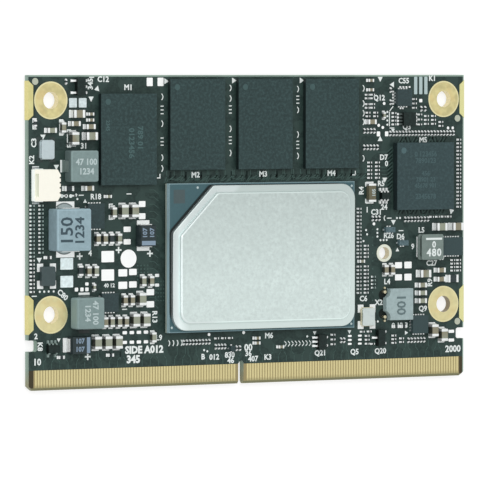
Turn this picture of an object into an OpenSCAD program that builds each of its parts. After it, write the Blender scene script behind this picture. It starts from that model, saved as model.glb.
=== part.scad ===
// System on module: a small edge-connector computer board with a lidded processor, a row of memory
// packages, power inductors, a cable connector and many small soldered parts.
// Lengths are in millimetres. The board lies flat with +Z out of its component side, the contact
// fingers point to -Y, and Z = 0 is the foot of the capacitors on the underside.

/* [Board] */
// Thickness of the laminate
board_t = 1.2; // [0.8:0.1:2.4]
// Room between the left edge and the processor
left_field = 24.7; // [24.5:0.1:40]
// Room between the processor and the right edge
right_field = 22.3; // [22:0.1:40]
// Room between the left edge and the memory row
left_block = 12.6; // [12.5:0.1:30]
// Room between the memory row and the right edge
right_block = 21.1; // [21:0.1:40]
// Room between the processor and the finger edge
finger_field = 8.6; // [8.4:0.1:30]
// Width of each rounded notch in the side edges
notch_w = 1.8; // [1:0.1:3]
// Depth of each side notch
notch_depth = 1.5; // [0.8:0.1:2]
// Height of the side notches above the finger edge
notch_up = 7.1; // [6:0.1:8]
// Cut across the two corners of the finger edge
corner_cut = 0.7; // [0.2:0.1:1]
// Thickness of the copper and solder lands
pad_t = 0.05; // [0.03:0.01:0.1]

/* [Edge connector] */
// Distance from one contact finger to the next
finger_pitch = 0.5; // [0.4:0.05:0.8]
// Width of a contact finger
finger_w = 0.35; // [0.2:0.01:0.38]
// Length of a contact finger
finger_l = 2.8; // [1.5:0.1:3.4]
// Fingers left of the key on the top face
fingers_left = 74; // [10:1:74]
// Fingers right of the key on the top face
fingers_right = 82; // [10:1:82]
// Finger places that the key takes on the top face
key_places = 4; // [4:1:8]
// Width of the key slot
key_w = 1; // [0.8:0.1:1.1]
// Depth of the key slot
key_depth = 3.7; // [3:0.1:5]
// Length of the sloped lead-in along the finger edge
bevel_l = 0.4; // [0.1:0.05:0.8]
// Depth of that slope on each face
bevel_depth = 0.3; // [0.1:0.05:0.35]
// Bare board beside the outermost fingers
finger_margin = 1; // [1:0.1:10]

/* [Mounting holes] */
// Diameter of a plated mounting hole
hole_d = 2.7; // [2.2:0.1:3.2]
// Width of the gold land around a hole
land_ring = 1.65; // [0.5:0.05:1.7]
// Distance of the hole centres from the side and top edges
hole_inset = 4; // [4:0.1:4.5]
// Distance between the upper and the lower holes
hole_pitch = 34; // [33.5:0.1:34.5]
// Least distance of the lower holes above the finger edge
hole_foot = 12; // [11.5:0.1:14]
// Gap between a gold land and the plated board edge beside it
edge_plate_gap = 0.15; // [0.05:0.05:0.4]
// Length of a plated stretch of the board edge
edge_plate_l = 6.3; // [3:0.1:6.5]

/* [Processor] */
// Width of the package
processor_w = 35; // [20:0.5:45]
// Depth of the package
processor_d = 24; // [18:0.5:40]
// Thickness of its laminate
substrate_t = 1.2; // [0.6:0.1:2]
// Height of its solder balls
ball_h = 0.35; // [0.2:0.05:0.6]
// Distance between its solder balls
ball_pitch = 0.8; // [0.5:0.05:1.27]
// Distance of the lid from the edge of the laminate
lid_inset = 0.35; // [0.2:0.05:2]
// Cut across the corner of the lid that marks pin one
lid_cut = 7.5; // [3:0.5:9]
// Corner radius of the lid
lid_r = 2.5; // [1:0.1:4]
// Thickness of the lid's flange
flange_t = 0.7; // [0.4:0.05:1.5]
// Width of the flange around the raised top
flange_w = 1.1; // [0.6:0.05:2.5]
// Height of the raised top above the flange
plateau_h = 0.55; // [0.2:0.05:1.5]
// Width of the lid's foot on the laminate
foot_w = 2.4; // [1.5:0.1:4]
// Thickness of the adhesive under the foot
sealant_t = 0.1; // [0.05:0.01:0.2]
// Thickness of the silicon dies
die_t = 0.5; // [0.3:0.05:0.8]
// Thickness of the thermal compound on the dies
compound_t = 0.08; // [0.05:0.01:0.2]

/* [Memory and controller] */
// Width of a memory package
memory_w = 10.2; // [8:0.1:13]
// Length of a memory package
memory_l = 14.6; // [10:0.1:18]
// Height of a memory package with its balls
memory_h = 1; // [0.7:0.05:1.4]
// Gap between memory packages
memory_gap = 2.5; // [1.6:0.1:6]
// Distance of the memory row from the top edge
memory_edge = 0.65; // [0.3:0.05:2]
// Distance of the storage package from the top edge
storage_edge = 2.95; // [2.6:0.05:4]
// Gap between the memory row and the processor
memory_clear = 2.15; // [1:0.05:6]
// Height of the balls under the smaller packages
small_ball_h = 0.22; // [0.15:0.01:0.35]
// Side of the square controller package
controller_w = 11.1; // [8:0.1:12]
// Height of the controller package with its balls
controller_h = 1.4; // [1:0.05:2]

/* [Inductors] */
// Side of the two smaller power inductors
choke_w = 5; // [4:0.1:5.4]
// Height of the two smaller power inductors
choke_h = 2.35; // [1.5:0.05:3]
// Width of the large power inductor
large_choke_w = 6.2; // [5:0.1:6.6]
// Length of the large power inductor between its terminals
large_choke_l = 6.7; // [5:0.1:7]
// Height of the large power inductor
large_choke_h = 3.1; // [2:0.1:4]
// Side of the wound drum inductor
drum_w = 4.2; // [3:0.1:4.4]
// Height of the wound drum inductor
drum_h = 1.65; // [1:0.05:2.5]
// Width of the low pressed inductor
low_choke_w = 5.2; // [4:0.1:5.3]
// Height of the low pressed inductor
low_choke_h = 1.3; // [0.8:0.05:2]
// Thickness of the terminal strips
strip_t = 0.15; // [0.1:0.01:0.3]

/* [Cable connector] */
// Depth of the housing from its mouth to its back
socket_depth = 3.9; // [3:0.1:4.2]
// Height of the housing
socket_h = 2.6; // [2:0.1:4]
// Contacts in the housing
socket_pins = 3; // [2:1:3]
// Distance between its contacts
socket_pitch = 1; // [0.8:0.05:1.1]
// Wall beside the outermost contacts
socket_cheek = 1.5; // [1.2:0.05:1.6]

/* [Small parts] */
// How far a solder land reaches past the part on it
land_reach = 0.3; // [0.1:0.05:0.4]
// Height of the flat leadless packages
flat_h = 0.8; // [0.5:0.05:1.2]
// Height of the small packages with bent leads
leaded_h = 1; // [0.7:0.05:1.3]
// Height of the tantalum capacitors
tantalum_h = 1.8; // [1.2:0.1:2.5]
// Height of the clock crystals
crystal_h = 0.75; // [0.5:0.05:1.2]

/* [Hidden] */
$fn = 48;

// Body length, width, height and length of each metal end of the two-ended parts
size_0805 = [2, 1.25, 1.2, 0.45];
size_0603 = [1.6, 0.8, 0.8, 0.35];
size_0402 = [1, 0.5, 0.5, 0.25];
size_0201 = [0.6, 0.3, 0.28, 0.15];
resistor_0805 = [2, 1.25, 0.5, 0.4];
resistor_0603 = [1.6, 0.8, 0.45, 0.3];
resistor_0402 = [1, 0.5, 0.35, 0.25];
fuse_size = [3, 1.4, 0.9, 0.35];
tantalum_size = [3.4, 2.8];
// Thickness of the metal skin on the ends
end_skin = 0.03;

// Contact row and board outline
row_places = fingers_left + key_places + fingers_right;
finger_row = row_places * finger_pitch;
memory_pitch = memory_w + memory_gap;
memory_row = 4 * memory_w + 3 * memory_gap;
processor_run = left_field + processor_w + right_field;
memory_run = left_block + memory_row + right_block;
board_w = max(processor_run, memory_run, finger_row + 2 * finger_margin);
processor_column = memory_edge + memory_l + memory_clear + processor_d + finger_field;
hole_column = hole_inset + hole_pitch + hole_foot;
board_d = max(processor_column, hole_column);
key_x = (fingers_left - fingers_right) * finger_pitch / 2;

// Levels from the underside up
lift = size_0402[2] + pad_t;
top_z = lift + board_t;
seat_z = top_z + pad_t;

// Processor place and levels, with the board's spare width shared by both sides
processor_x = -board_w / 2 + left_field + processor_w / 2 + (board_w - processor_run) / 2;
processor_y = -board_d / 2 + finger_field + processor_d / 2;
substrate_z = top_z + ball_h;
lid_z = substrate_z + substrate_t + sealant_t;
lid_w = processor_w - 2 * lid_inset;
lid_d = processor_d - 2 * lid_inset;
pocket_h = die_t + compound_t - sealant_t;
ball_d = max(0.6 * ball_pitch, 1.2 * ball_h);
// Width and depth of the two dies, and the gap between them
die_sizes = [[9, 11], [7, 8]];
die_gap = 1.5;

// Memory row
memory_x = -board_w / 2 + left_block + memory_w / 2 + (board_w - memory_run) / 2;
memory_y = board_d / 2 - memory_edge - memory_l / 2;
storage_y = board_d / 2 - storage_edge - memory_l / 2;
memory_ball_pitch = 0.8;
small_ball_d = 1.4 * small_ball_h;

// Mounting and heatsink holes
plating_t = 0.05;
land_d = hole_d + 2 * land_ring;
upper_hole_y = board_d / 2 - hole_inset;
hole_spots = [for (sx = [-1, 1]) for (sy = [0, 1])
    [sx * (board_w / 2 - hole_inset), upper_hole_y - sy * hole_pitch]];
edge_plate_in = hole_inset - land_d / 2 - edge_plate_gap;
edge_plate_r = (pow(edge_plate_l / 2, 2) + pow(edge_plate_in, 2)) / (2 * edge_plate_in);
heatsink_hole_d = 2;
heatsink_ring = 0.45;
fiducial_d = 1.1;

// Corners that the parts are measured in from: direction inwards, then the corner's place.
// The lower corners keep to the mounting holes, and LF and RF are those of the finger edge.
lower_y = board_d / 2 - hole_column;
LT = [1, -1, -board_w / 2, board_d / 2];
RT = [-1, -1, board_w / 2, board_d / 2];
LB = [1, 1, -board_w / 2, lower_y];
RB = [-1, 1, board_w / 2, lower_y];
LF = [1, 1, -board_w / 2, -board_d / 2];
RF = [-1, 1, board_w / 2, -board_d / 2];

// Places: corner, distance in along X, distance in along Y, turn
heatsink_hole_at = [RB, 15.6, 20.65, 0];
heatsink_pad_at = [LB, 18.1, 20.65, 0];
large_choke_at = [LB, 6.6, 25.5, 90];
upper_choke_at = [LT, 8.95, 14.45, 0];
lower_choke_at = [LB, 10, 12.15, 90];
drum_at = [RB, 7.1, 21.55, 0];
low_choke_at = [RB, 13.3, 12.2, 0];
controller_at = [RT, 8.35, 16.7, 0];
socket_at = [LT, 2.45, 17.4, 0];
oscillator_at = [LB, 3.2, 18.15, 90];
crystals_at = [[LT, 3.1, 11.8, 90], [RB, 19, 10.25, 90]];
tantalums_at = [[LB, 20.8, 24.3, 90], [LB, 8.6, 7.1, 180]];
fuse_at = [RB, 18.4, 30.65, 90];
fiducials_at = [[LT, 1.2, 1], [RT, 1.25, 7.2], [RB, 1.2, 9.05]];

large_capacitors = [
    [LT, 8.6, 6.15, 0], [LT, 7.9, 10.05, 90], [LT, 10.9, 9.7, 0],
    [LB, 16.9, 28.3, 90], [LB, 18.8, 28.3, 90], [LB, 20.15, 14.15, 90],
    [LB, 19, 10.8, 90], [LB, 20.9, 10.8, 90],
    [LB, 12, 7.35, 90], [LB, 13.9, 7.35, 90], [LB, 15.8, 7.35, 90],
    [RB, 6.25, 7.7, 90], [RB, 4.4, 6.9, 90],
    [RB, 4.9, 24.85, 0], [RB, 1.75, 24.85, 0], [RB, 8.1, 17.15, 0]
];
medium_capacitors = [
    [LT, 8.2, 7.7, 0], [LT, 6, 8.3, 90], [LT, 3.9, 8.75, 0], [LT, 10.9, 8.2, 0], [LT, 10.6, 18, 0],
    [LB, 15.2, 28.1, 90], [LB, 12.25, 23.9, 90], [LB, 13.55, 23.9, 90], [LB, 16.15, 23.9, 90],
    [LB, 10.6, 18.8, 90], [LB, 11.9, 18.8, 90], [LB, 20.6, 17, 90], [LB, 22.05, 17, 90],
    [LB, 17.2, 14, 90], [LB, 18.5, 14, 90],
    [LB, 13.6, 10.6, 90], [LB, 14.8, 10.6, 90], [LB, 16.15, 10.6, 90], [LB, 17.4, 10.6, 90],
    [LB, 22.45, 7.95, 90], [RB, 15.55, 17.9, 90], [RB, 14.3, 17.9, 90],
    [RB, 8.5, 15.25, 0], [RB, 8.5, 13.95, 0], [RB, 8.5, 12.65, 0],
    [RB, 4.8, 17.65, 0], [RB, 4.8, 16.15, 0], [RT, 18.35, 7.7, 0]
];
small_capacitors = [
    [LT, 11.1, 6.2, 0], [LT, 11.1, 7.15, 0], [LB, 14.3, 30.65, 0], [LB, 11.7, 16.2, 90],
    [RF, 40.1, 7.3, 0], [RF, 40.1, 6.5, 0], [RF, 35.6, 5.75, 0], [RB, 20.1, 19.4, 0],
    [RT, 15.8, 6.65, 90], [RT, 18.4, 2.45, 0], [RT, 18.4, 0.9, 0]
];
// Places of the resistors with their size
resistors = [
    [LT, 7.1, 18, 0, resistor_0603], [LB, 14.9, 23.9, 90, resistor_0603],
    [LB, 9.25, 18.9, 90, resistor_0603], [RB, 2.3, 16.2, 0, resistor_0805],
    [LT, 1.1, 7.6, 90, resistor_0402], [LB, 3.4, 21.1, 0, resistor_0402],
    [LB, 5.75, 5.2, 0, resistor_0402], [LB, 14.7, 5.3, 0, resistor_0402],
    [RB, 13.4, 8.5, 0, resistor_0402], [RB, 11.9, 8.5, 0, resistor_0402]
];
// Fields of the smallest parts: corner, first place in from the edges, columns, rows, their pitches, turn
tiny_fields = [
    [LB, 0.6, 15.7, 1, 23, 0, 0.62, 0], [LB, 2.2, 21.9, 1, 13, 0, 0.62, 0],
    [LT, 6.7, 1.05, 1, 1, 0, 0, 90], [LT, 6.6, 19.15, 2, 1, 1.6, 0, 0],
    [LF, 28.2, 6.95, 9, 1, 0.6, 0, 90], [LF, 34.2, 6.1, 4, 1, 0.58, 0, 90],
    [LF, 38.1, 5.75, 2, 1, 0.65, 0, 90], [LF, 34.4, 7.45, 3, 1, 1.3, 0, 0],
    [RB, 20.5, 20.1, 1, 14, 0, 0.61, 0], [RB, 20.5, 14.2, 1, 8, 0, 0.62, 0],
    [RB, 19.1, 20.1, 1, 4, 0, 0.61, 0], [RB, 19.1, 14.2, 1, 8, 0, 0.62, 0],
    [RB, 17.7, 15, 1, 4, 0, 0.6, 0], [RT, 1, 10.75, 1, 19, 0, 0.62, 0],
    [RT, 2.1, 9.65, 21, 1, 0.62, 0, 90], [RB, 7.1, 26.15, 8, 1, 0.64, 0, 90],
    [RB, 2.9, 26.5, 4, 1, 1.15, 0, 0], [RT, 17, 11.9, 5, 1, 0.64, 0, 90],
    [RT, 16.95, 14.4, 2, 5, 1.5, 0.63, 0], [RT, 7.7, 5.6, 2, 1, 0.75, 0, 90],
    [RT, 6, 6.8, 2, 3, 1.4, 0.65, 0], [RT, 4.55, 7.8, 1, 2, 0, 0.65, 0],
    [RT, 17.9, 3.25, 2, 2, 1.05, 0.6, 0], [RT, 17.9, 4.8, 2, 2, 1.05, 0.6, 0],
    [RT, 17.3, 6.2, 2, 2, 1.5, 0.6, 0], [RT, 17.6, 9.2, 4, 1, 0.64, 0, 90],
    [RT, 13.75, 6.3, 1, 4, 0, 0.62, 0], [RF, 23.4, 6.5, 2, 1, 0.58, 0, 90],
    [RF, 25.5, 5.9, 1, 3, 0, 0.78, 0], [RB, 13.7, 5.8, 1, 3, 0, 0.6, 0],
    [RB, 12.2, 5.9, 1, 2, 0, 0.6, 0], [RB, 7.8, 6.15, 6, 1, 0.62, 0, 90],
    [RB, 18.9, 5.8, 1, 3, 0, 0.65, 0], [RB, 1, 17.5, 2, 4, 1.15, 0.58, 0],
    [RB, 16.6, 26.4, 3, 1, 0.65, 0, 90], [RT, 9.75, 4, 1, 3, 0, 0.72, 0],
    [RT, 14.45, 2.5, 1, 2, 0, 2, 90], [RT, 8.7, 6.55, 1, 3, 0, 0.82, 0],
    [RB, 18.5, 7.8, 2, 1, 1.35, 0, 0], [RB, 17.85, 5.75, 1, 1, 0, 0, 0]
];
// Leadless packages: place, turn, width, depth
flat_packages = [
    [LB, 11.8, 27.55, 0, 3, 4], [LB, 14.35, 13.7, 0, 3, 3], [RB, 8.95, 8.75, 0, 3, 3],
    [RT, 12.1, 3.75, 0, 2.8, 2.8], [RB, 2.65, 21.55, 0, 4, 3],
    [RB, 14.8, 24.5, 0, 1.8, 0.9], [RB, 12.2, 22.3, 0, 1.8, 0.9], [LF, 37.1, 5.75, 0, 0.9, 0.9]
];
// Packages with bent leads: place, turn, body width, body length, leads on each side, lead pitch
leaded_packages = [
    [LT, 9.05, 1.85, 0, 1.5, 2.7, [-1, 1], [-1, 0, 1], 0.95],
    [RF, 28, 6.4, 0, 1.5, 2.4, [-1, 0, 1], [-1, 1], 0.68],
    [RB, 16.6, 6.75, 0, 1.3, 2.7, [0], [-1, 1], 0.95],
    [LB, 4.1, 6.6, 270, 1.2, 2, [-1, 0, 1], [-1, 1], 0.65],
    [RB, 15.8, 30.1, 90, 1.1, 1.6, [-1, 0, 1], [-1, 0, 1], 0.62],
    [RT, 11.2, 7.3, 0, 2.4, 2.2, [-1.5, -0.5, 0.5, 1.5], [-1.5, -0.5, 0.5, 1.5], 0.55]
];
// Bare pads: corner, distances in from the edges, width, depth
pad_places = [
    [LT, 8, 4.4, 1.4, 1.5], [LT, 9.75, 4.4, 1.4, 1.5], [LT, 22, 1.1, 1.1, 1.35], [LT, 24, 1.1, 1.1, 1.35],
    [LB, 20.6, 29.35, 1.2, 0.95], [LB, 20.6, 27.4, 1.2, 0.95],
    [LB, 17.85, 25.35, 1.3, 0.85], [LB, 17.85, 23.35, 1.3, 0.85],
    [LB, 14.3, 21.05, 2.3, 1.8], [LB, 14.3, 18.1, 2.3, 1.8],
    [LB, 6.85, 20.05, 2.3, 1.85], [LB, 6.85, 17.2, 2.3, 1.85],
    [LB, 17.05, 18.4, 1.6, 1.15], [LB, 17.05, 16.4, 1.6, 1.15],
    [LB, 18.9, 18.5, 1.4, 1], [LB, 18.9, 16.5, 1.4, 1],
    [LB, 23.35, 17.85, 0.75, 0.5], [LB, 23.35, 16.3, 0.75, 0.5],
    [LB, 22.1, 15.2, 1.4, 1], [LB, 22.1, 13.25, 1.4, 1],
    [LB, 9.6, 15.9, 0.6, 0.6], [LB, 8.6, 15.9, 0.6, 0.6], [LB, 10.5, 15.9, 0.6, 0.6],
    [LB, 10.5, 16.75, 0.6, 0.5], [RT, 8.5, 4.25, 0.6, 0.55],
    [RT, 7.5, 1.75, 0.62, 2.9], [RT, 8.5, 1.75, 0.62, 2.9], [RT, 9.5, 1.75, 0.62, 2.9],
    [RT, 16.75, 9.7, 0.65, 0.8], [RT, 15.15, 9.7, 0.65, 0.8],
    [RB, 12.8, 18.6, 1.35, 1], [RB, 10.95, 18.6, 1.4, 1.1],
    [RB, 12.8, 16.6, 1.35, 1], [RB, 10.95, 16.6, 1.4, 1.1],
    [RB, 2.4, 7.4, 1.1, 0.5], [RB, 2.4, 5.95, 1.1, 0.5]
];
// Rows of small bare pads: corner, first place in from the edges, columns, rows, their pitches, width, depth
pad_rows = [
    [LB, 17.4, 7.25, 4, 2, 1.3, 1.55, 0.8, 0.5], [RB, 20.3, 5.85, 2, 3, 1.95, 0.65, 0.7, 0.32],
    [RT, 13.9, 2.75, 1, 5, 0, 0.5, 0.36, 0.32], [RT, 12, 5.5, 2, 1, 0.46, 0, 0.32, 0.28],
    [RT, 10.7, 2, 4, 1, 0.6, 0, 0.36, 0.26], [RT, 2.2, 8.8, 2, 1, 0.92, 0, 0.42, 0.45]
];
// Round test points
test_points = [
    [RT, 15.65, 4.7], [RT, 15.9, 8.65], [RT, 16.7, 8.3], [LF, 33, 8.1], [LF, 39.5, 8.25], [RB, 17.6, 25.5]
];
test_point_d = 0.5;
// Columns and rows of capacitors on the underside, below the processor and below each memory package
under_processor = [5, 4];
under_memory = [1, 2];
under_processor_step = [processor_w / 7, processor_d / 6];
under_memory_step = [memory_w / 2, memory_l / 3];

// Place of a part whose corner and distances in from it are p[0], p[1] and p[2]
function spot(p) = [p[0][2] + p[0][0] * p[1], p[0][3] + p[0][1] * p[2]];
// Every place of a field of like parts
function field(f, turn) = [for (i = [0:f[3] - 1]) for (j = [0:f[4] - 1])
    [f[0], f[1] + i * f[5], f[2] + j * f[6], turn]];
tiny_parts = [for (f = tiny_fields) each field(f, f[7])];
row_pads = [for (f = pad_rows) for (p = field(f, 0)) [p[0], p[1], p[2], f[7], f[8]]];
// Every two-ended part with a land at each end: place, size
two_ended = concat(
    [for (p = large_capacitors) [p, size_0805]], [for (p = medium_capacitors) [p, size_0603]],
    [for (p = small_capacitors) [p, size_0402]], [for (p = resistors) [p, p[4]]],
    [for (p = tiny_parts) [p, size_0201]], [[fuse_at, fuse_size]]
);
// Longest run of whole pitches that fits in a length l, and the points along it
function run(l, pitch) = floor(l / pitch) * pitch;
function along(l, pitch) = [for (i = [0:floor(l / pitch)]) i * pitch - run(l, pitch) / 2];
// Places of the outermost ring of balls under a package of width w and depth d
function ball_ring(w, d, pitch) = concat(
    [for (x = along(w - pitch, pitch)) for (s = [-1, 1]) [x, s * run(d - pitch, pitch) / 2]],
    [for (y = along(d - 3 * pitch, pitch)) for (s = [-1, 1]) [s * run(w - pitch, pitch) / 2, y]]
);
// Places of the underside capacitors: a grid below the processor and one below each memory package
function grid(x, y, n, step) = [for (i = [0:n.x - 1]) for (j = [0:n.y - 1])
    [x + (i - (n.x - 1) / 2) * step.x, y + (j - (n.y - 1) / 2) * step.y]];
underside_spots = concat(
    grid(processor_x, processor_y, under_processor, under_processor_step),
    [for (i = [0:3]) each grid(memory_x + i * memory_pitch, memory_y, under_memory, under_memory_step)]
);

// Moves a part to its place on the lands
module seat(p) {
    translate([spot(p).x, spot(p).y, seat_z]) rotate(p[3]) children();
}

// Box with its middle at the origin and its foot at z = 0
module block(size) {
    translate([0, 0, size.z / 2]) cube(size, center = true);
}

// Flat outline with round corners
module round_rect(w, d, r) {
    square([w - 2 * r, d], center = true);
    square([w, d - 2 * r], center = true);
    for (sx = [-1, 1]) for (sy = [-1, 1]) translate([sx * (w / 2 - r), sy * (d / 2 - r)]) circle(r);
}

// Middle of a two-ended part, between its metal ends
module two_ended_body(size) {
    skins = 2 * end_skin;
    translate([0, 0, end_skin]) block([size[0] - 2 * size[3], size[1] - skins, size[2] - skins]);
}

// Metal ends of a two-ended part
module two_ended_ends(size) {
    for (s = [-1, 1]) translate([s * (size[0] - size[3]) / 2, 0, 0]) block([size[3], size[1], size[2]]);
}

// Lands under the ends of a two-ended part
module two_ended_lands(size) {
    reach = min(land_reach, size[0] / 5);
    for (s = [-1, 1]) translate([s * (size[0] - size[3] + reach) / 2, 0, -pad_t])
        block([size[3] + reach, size[1], pad_t]);
}

// Solder ball cut flat by the package and the board
module ball(d, h) {
    intersection() {
        translate([0, 0, h / 2]) sphere(d = d, $fn = 16);
        block([d, d, h]);
    }
}

// Moulded package with a pin-one dimple in its upper left corner
module moulded_package(w, d, foot_z, head_z) {
    dimple_d = 1;
    dimple_in = 1.3;
    dimple_depth = 0.04;
    difference() {
        translate([0, 0, foot_z]) block([w, d, head_z - foot_z]);
        translate([dimple_in - w / 2, d / 2 - dimple_in, head_z - dimple_depth])
            cylinder(d = dimple_d, h = 2 * dimple_depth);
    }
}

// Terminal strip that comes from under a body's end and climbs its side
module terminal_clip(half_l, w, under, climb) {
    rotate([90, 0, 0]) linear_extrude(w, center = true) polygon([
        [half_l - under, 0], [half_l + strip_t, 0], [half_l + strip_t, climb],
        [half_l, climb], [half_l, strip_t], [half_l - under, strip_t]
    ]);
}

// Bent lead of a small package: shoulder at the body, slope, and foot on its land
module bent_lead(w, shoulder_z, out) {
    t = 0.12;
    rotate([90, 0, 0]) linear_extrude(w, center = true) polygon([
        [0, shoulder_z], [out * 0.3, shoulder_z], [out * 0.5, t], [out, t],
        [out, 0], [out * 0.4, 0], [out * 0.22, shoulder_z - t], [0, shoulder_z - t]
    ]);
}

// Outline of the board with its key slot, side notches and cut corners
module board_outline() {
    notch_r = 0.4;
    difference() {
        square([board_w, board_d], center = true);
        translate([key_x - key_w / 2, -board_d / 2 - key_w]) square([key_w, key_depth + key_w / 2]);
        translate([key_x, -board_d / 2 + key_depth - key_w / 2]) circle(d = key_w);
        for (s = [-1, 1]) {
            translate([s * board_w / 2, -board_d / 2 + notch_up])
                round_rect(2 * notch_depth, notch_w, notch_r);
            translate([s * board_w / 2, -board_d / 2]) rotate(45)
                square(corner_cut * sqrt(2), center = true);
        }
    }
}

// Slope cut along the finger edge of one face
module edge_bevel() {
    overlap = 1;
    slope = bevel_depth / bevel_l;
    translate([0, -board_d / 2, 0]) rotate([90, 0, 90])
        linear_extrude(board_w + 2 * overlap, center = true) polygon([
            [-overlap, -overlap], [bevel_l + overlap / slope, -overlap],
            [-overlap, bevel_depth + overlap * slope]
        ]);
}

module circuit_board() {
    color("darkslategray") difference() {
        translate([0, 0, lift]) linear_extrude(board_t) board_outline();
        translate([0, 0, lift]) edge_bevel();
        translate([0, 0, lift + board_t]) mirror([0, 0, 1]) edge_bevel();
        for (p = hole_spots) translate([p.x, p.y, lift / 2])
            cylinder(d = hole_d + 2 * plating_t, h = board_t + lift);
        translate([spot(heatsink_hole_at).x, spot(heatsink_hole_at).y, lift / 2])
            cylinder(d = heatsink_hole_d + 2 * plating_t, h = board_t + lift);
    }
}

// Row of contact fingers with n places left and m places right of the key
module finger_row_of(n, m, z) {
    first = -(row_places - 1) * finger_pitch / 2;
    for (i = [0:row_places - 1]) if (i < n || i >= row_places - m)
        translate([first + i * finger_pitch, -board_d / 2 + bevel_l + finger_l / 2, z])
            block([finger_w, finger_l, pad_t]);
}

module fingers_top() {
    color("goldenrod") finger_row_of(fingers_left, fingers_right, top_z);
}

// The underside has one more finger on each side of the key
module fingers_bottom() {
    color("goldenrod") finger_row_of(fingers_left + 1, fingers_right + 1, lift - pad_t);
}

// Plated hole: a land on each face joined by the barrel through the board
module plated_hole(hole, land) {
    rotate_extrude() {
        translate([hole / 2, lift]) square([plating_t, board_t]);
        for (z = [lift - pad_t, top_z]) translate([hole / 2, z]) square([(land - hole) / 2, pad_t]);
    }
}

module mounting_lands() {
    color("gold") for (p = hole_spots) translate([p.x, p.y, 0]) plated_hole(hole_d, land_d);
}

// Plating that wraps the board edge beside each mounting hole
module edge_plating() {
    color("khaki") for (p = hole_spots) translate([sign(p.x) * board_w / 2, p.y, 0])
        mirror([p.x < 0 ? 1 : 0, 0, 0]) {
            for (z = [lift - pad_t, top_z]) translate([0, 0, z]) linear_extrude(pad_t) intersection() {
                translate([edge_plate_r - edge_plate_in, 0]) circle(edge_plate_r, $fn = 96);
                translate([-edge_plate_in / 2, 0]) square([edge_plate_in, edge_plate_l], center = true);
            }
            translate([pad_t / 2, 0, lift - pad_t])
                block([pad_t, edge_plate_l - 2 * pad_t, board_t + 2 * pad_t]);
        }
}

module heatsink_hole_ring() {
    color("silver") translate(spot(heatsink_hole_at))
        plated_hole(heatsink_hole_d, heatsink_hole_d + 2 * heatsink_ring);
}

module heatsink_pad() {
    color("white") translate([spot(heatsink_pad_at).x, spot(heatsink_pad_at).y, top_z])
        cylinder(d = heatsink_hole_d + 2 * heatsink_ring, h = pad_t);
}

module bare_pads() {
    corner_r = 0.12;
    color("whitesmoke") translate([0, 0, top_z]) {
        linear_extrude(pad_t) for (p = concat(pad_places, row_pads))
            translate(spot(p)) round_rect(p[3], p[4], corner_r);
        for (p = test_points) translate(spot(p)) cylinder(d = test_point_d, h = pad_t);
    }
}

module part_lands() {
    color("whitesmoke") {
        for (part = two_ended) seat(part[0]) two_ended_lands(part[1]);
        for (p = concat([oscillator_at], crystals_at)) seat(p) corner_lands();
    }
}

module fiducials() {
    color("lightgray") for (p = fiducials_at) translate([spot(p).x, spot(p).y, top_z])
        cylinder(d = fiducial_d, h = pad_t);
}

module processor_balls() {
    color("silver") for (p = ball_ring(processor_w, processor_d, ball_pitch))
        translate([processor_x + p.x, processor_y + p.y, top_z]) ball(ball_d, ball_h);
}

module processor_substrate() {
    color("steelblue") translate([processor_x, processor_y, substrate_z])
        block([processor_w, processor_d, substrate_t]);
}

// Places the children on each die in turn
module on_dies() {
    span = die_sizes[0].x + die_gap + die_sizes[1].x;
    translate([processor_x, processor_y, substrate_z + substrate_t]) {
        translate([(die_sizes[0].x - span) / 2, 0, 0]) children(0);
        translate([(span - die_sizes[1].x) / 2, 0, 0]) children(1);
    }
}

module processor_dies() {
    color("dimgray") on_dies() {
        block([die_sizes[0].x, die_sizes[0].y, die_t]);
        block([die_sizes[1].x, die_sizes[1].y, die_t]);
    }
}

module thermal_compound() {
    color("gainsboro") translate([0, 0, die_t]) on_dies() {
        block([die_sizes[0].x, die_sizes[0].y, compound_t]);
        block([die_sizes[1].x, die_sizes[1].y, compound_t]);
    }
}

// Outline of the lid drawn in from its edge, with the cut corner that marks pin one
module lid_outline(inset) {
    w = lid_w - 2 * inset;
    d = lid_d - 2 * inset;
    r = max(0.5, lid_r - inset / 2);
    cut = lid_cut - inset * (2 - sqrt(2));
    cut_r = 1;
    side = cut_r * tan(22.5);
    hull() {
        for (p = [[1, 1], [1, -1], [-1, -1]]) translate([p.x * (w / 2 - r), p.y * (d / 2 - r)]) circle(r);
        translate([-w / 2 + cut + side, d / 2 - cut_r]) circle(cut_r);
        translate([-w / 2 + cut_r, d / 2 - cut - side]) circle(cut_r);
    }
}

// Adhesive under the lid's foot, squeezed out a little towards the cut corner
module lid_sealant() {
    vent_w = 3;
    sealant_in = 0.3;
    squeeze = [-0.25, 0.1];
    color("black") translate([processor_x, processor_y, lid_z - sealant_t])
        linear_extrude(sealant_t) difference() {
            union() {
                lid_outline(sealant_in);
                translate(squeeze + [-sealant_in, sealant_in]) lid_outline(sealant_in);
            }
            lid_outline(foot_w - sealant_in);
            translate([lid_w / 4, -lid_d / 2]) square([vent_w, 2 * foot_w], center = true);
        }
}

module heat_spreader_lid() {
    edge_soft = 0.2;
    thin = 0.01;
    lid_t = flange_t + plateau_h;
    color("lightgray") translate([processor_x, processor_y, lid_z]) difference() {
        union() {
            linear_extrude(flange_t) lid_outline(0);
            hull() {
                linear_extrude(lid_t - edge_soft) lid_outline(flange_w);
                translate([0, 0, lid_t - thin]) linear_extrude(thin) lid_outline(flange_w + edge_soft);
            }
        }
        translate([0, 0, -pocket_h]) linear_extrude(2 * pocket_h) lid_outline(foot_w);
    }
}

// Memory package number i of the row, at its own distance from the top edge
module memory_package(i, y) {
    color("darkslategray") translate([memory_x + i * memory_pitch, y, top_z])
        moulded_package(memory_w, memory_l, small_ball_h, memory_h);
}

module storage_chip() {
    memory_package(0, storage_y);
}

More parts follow.
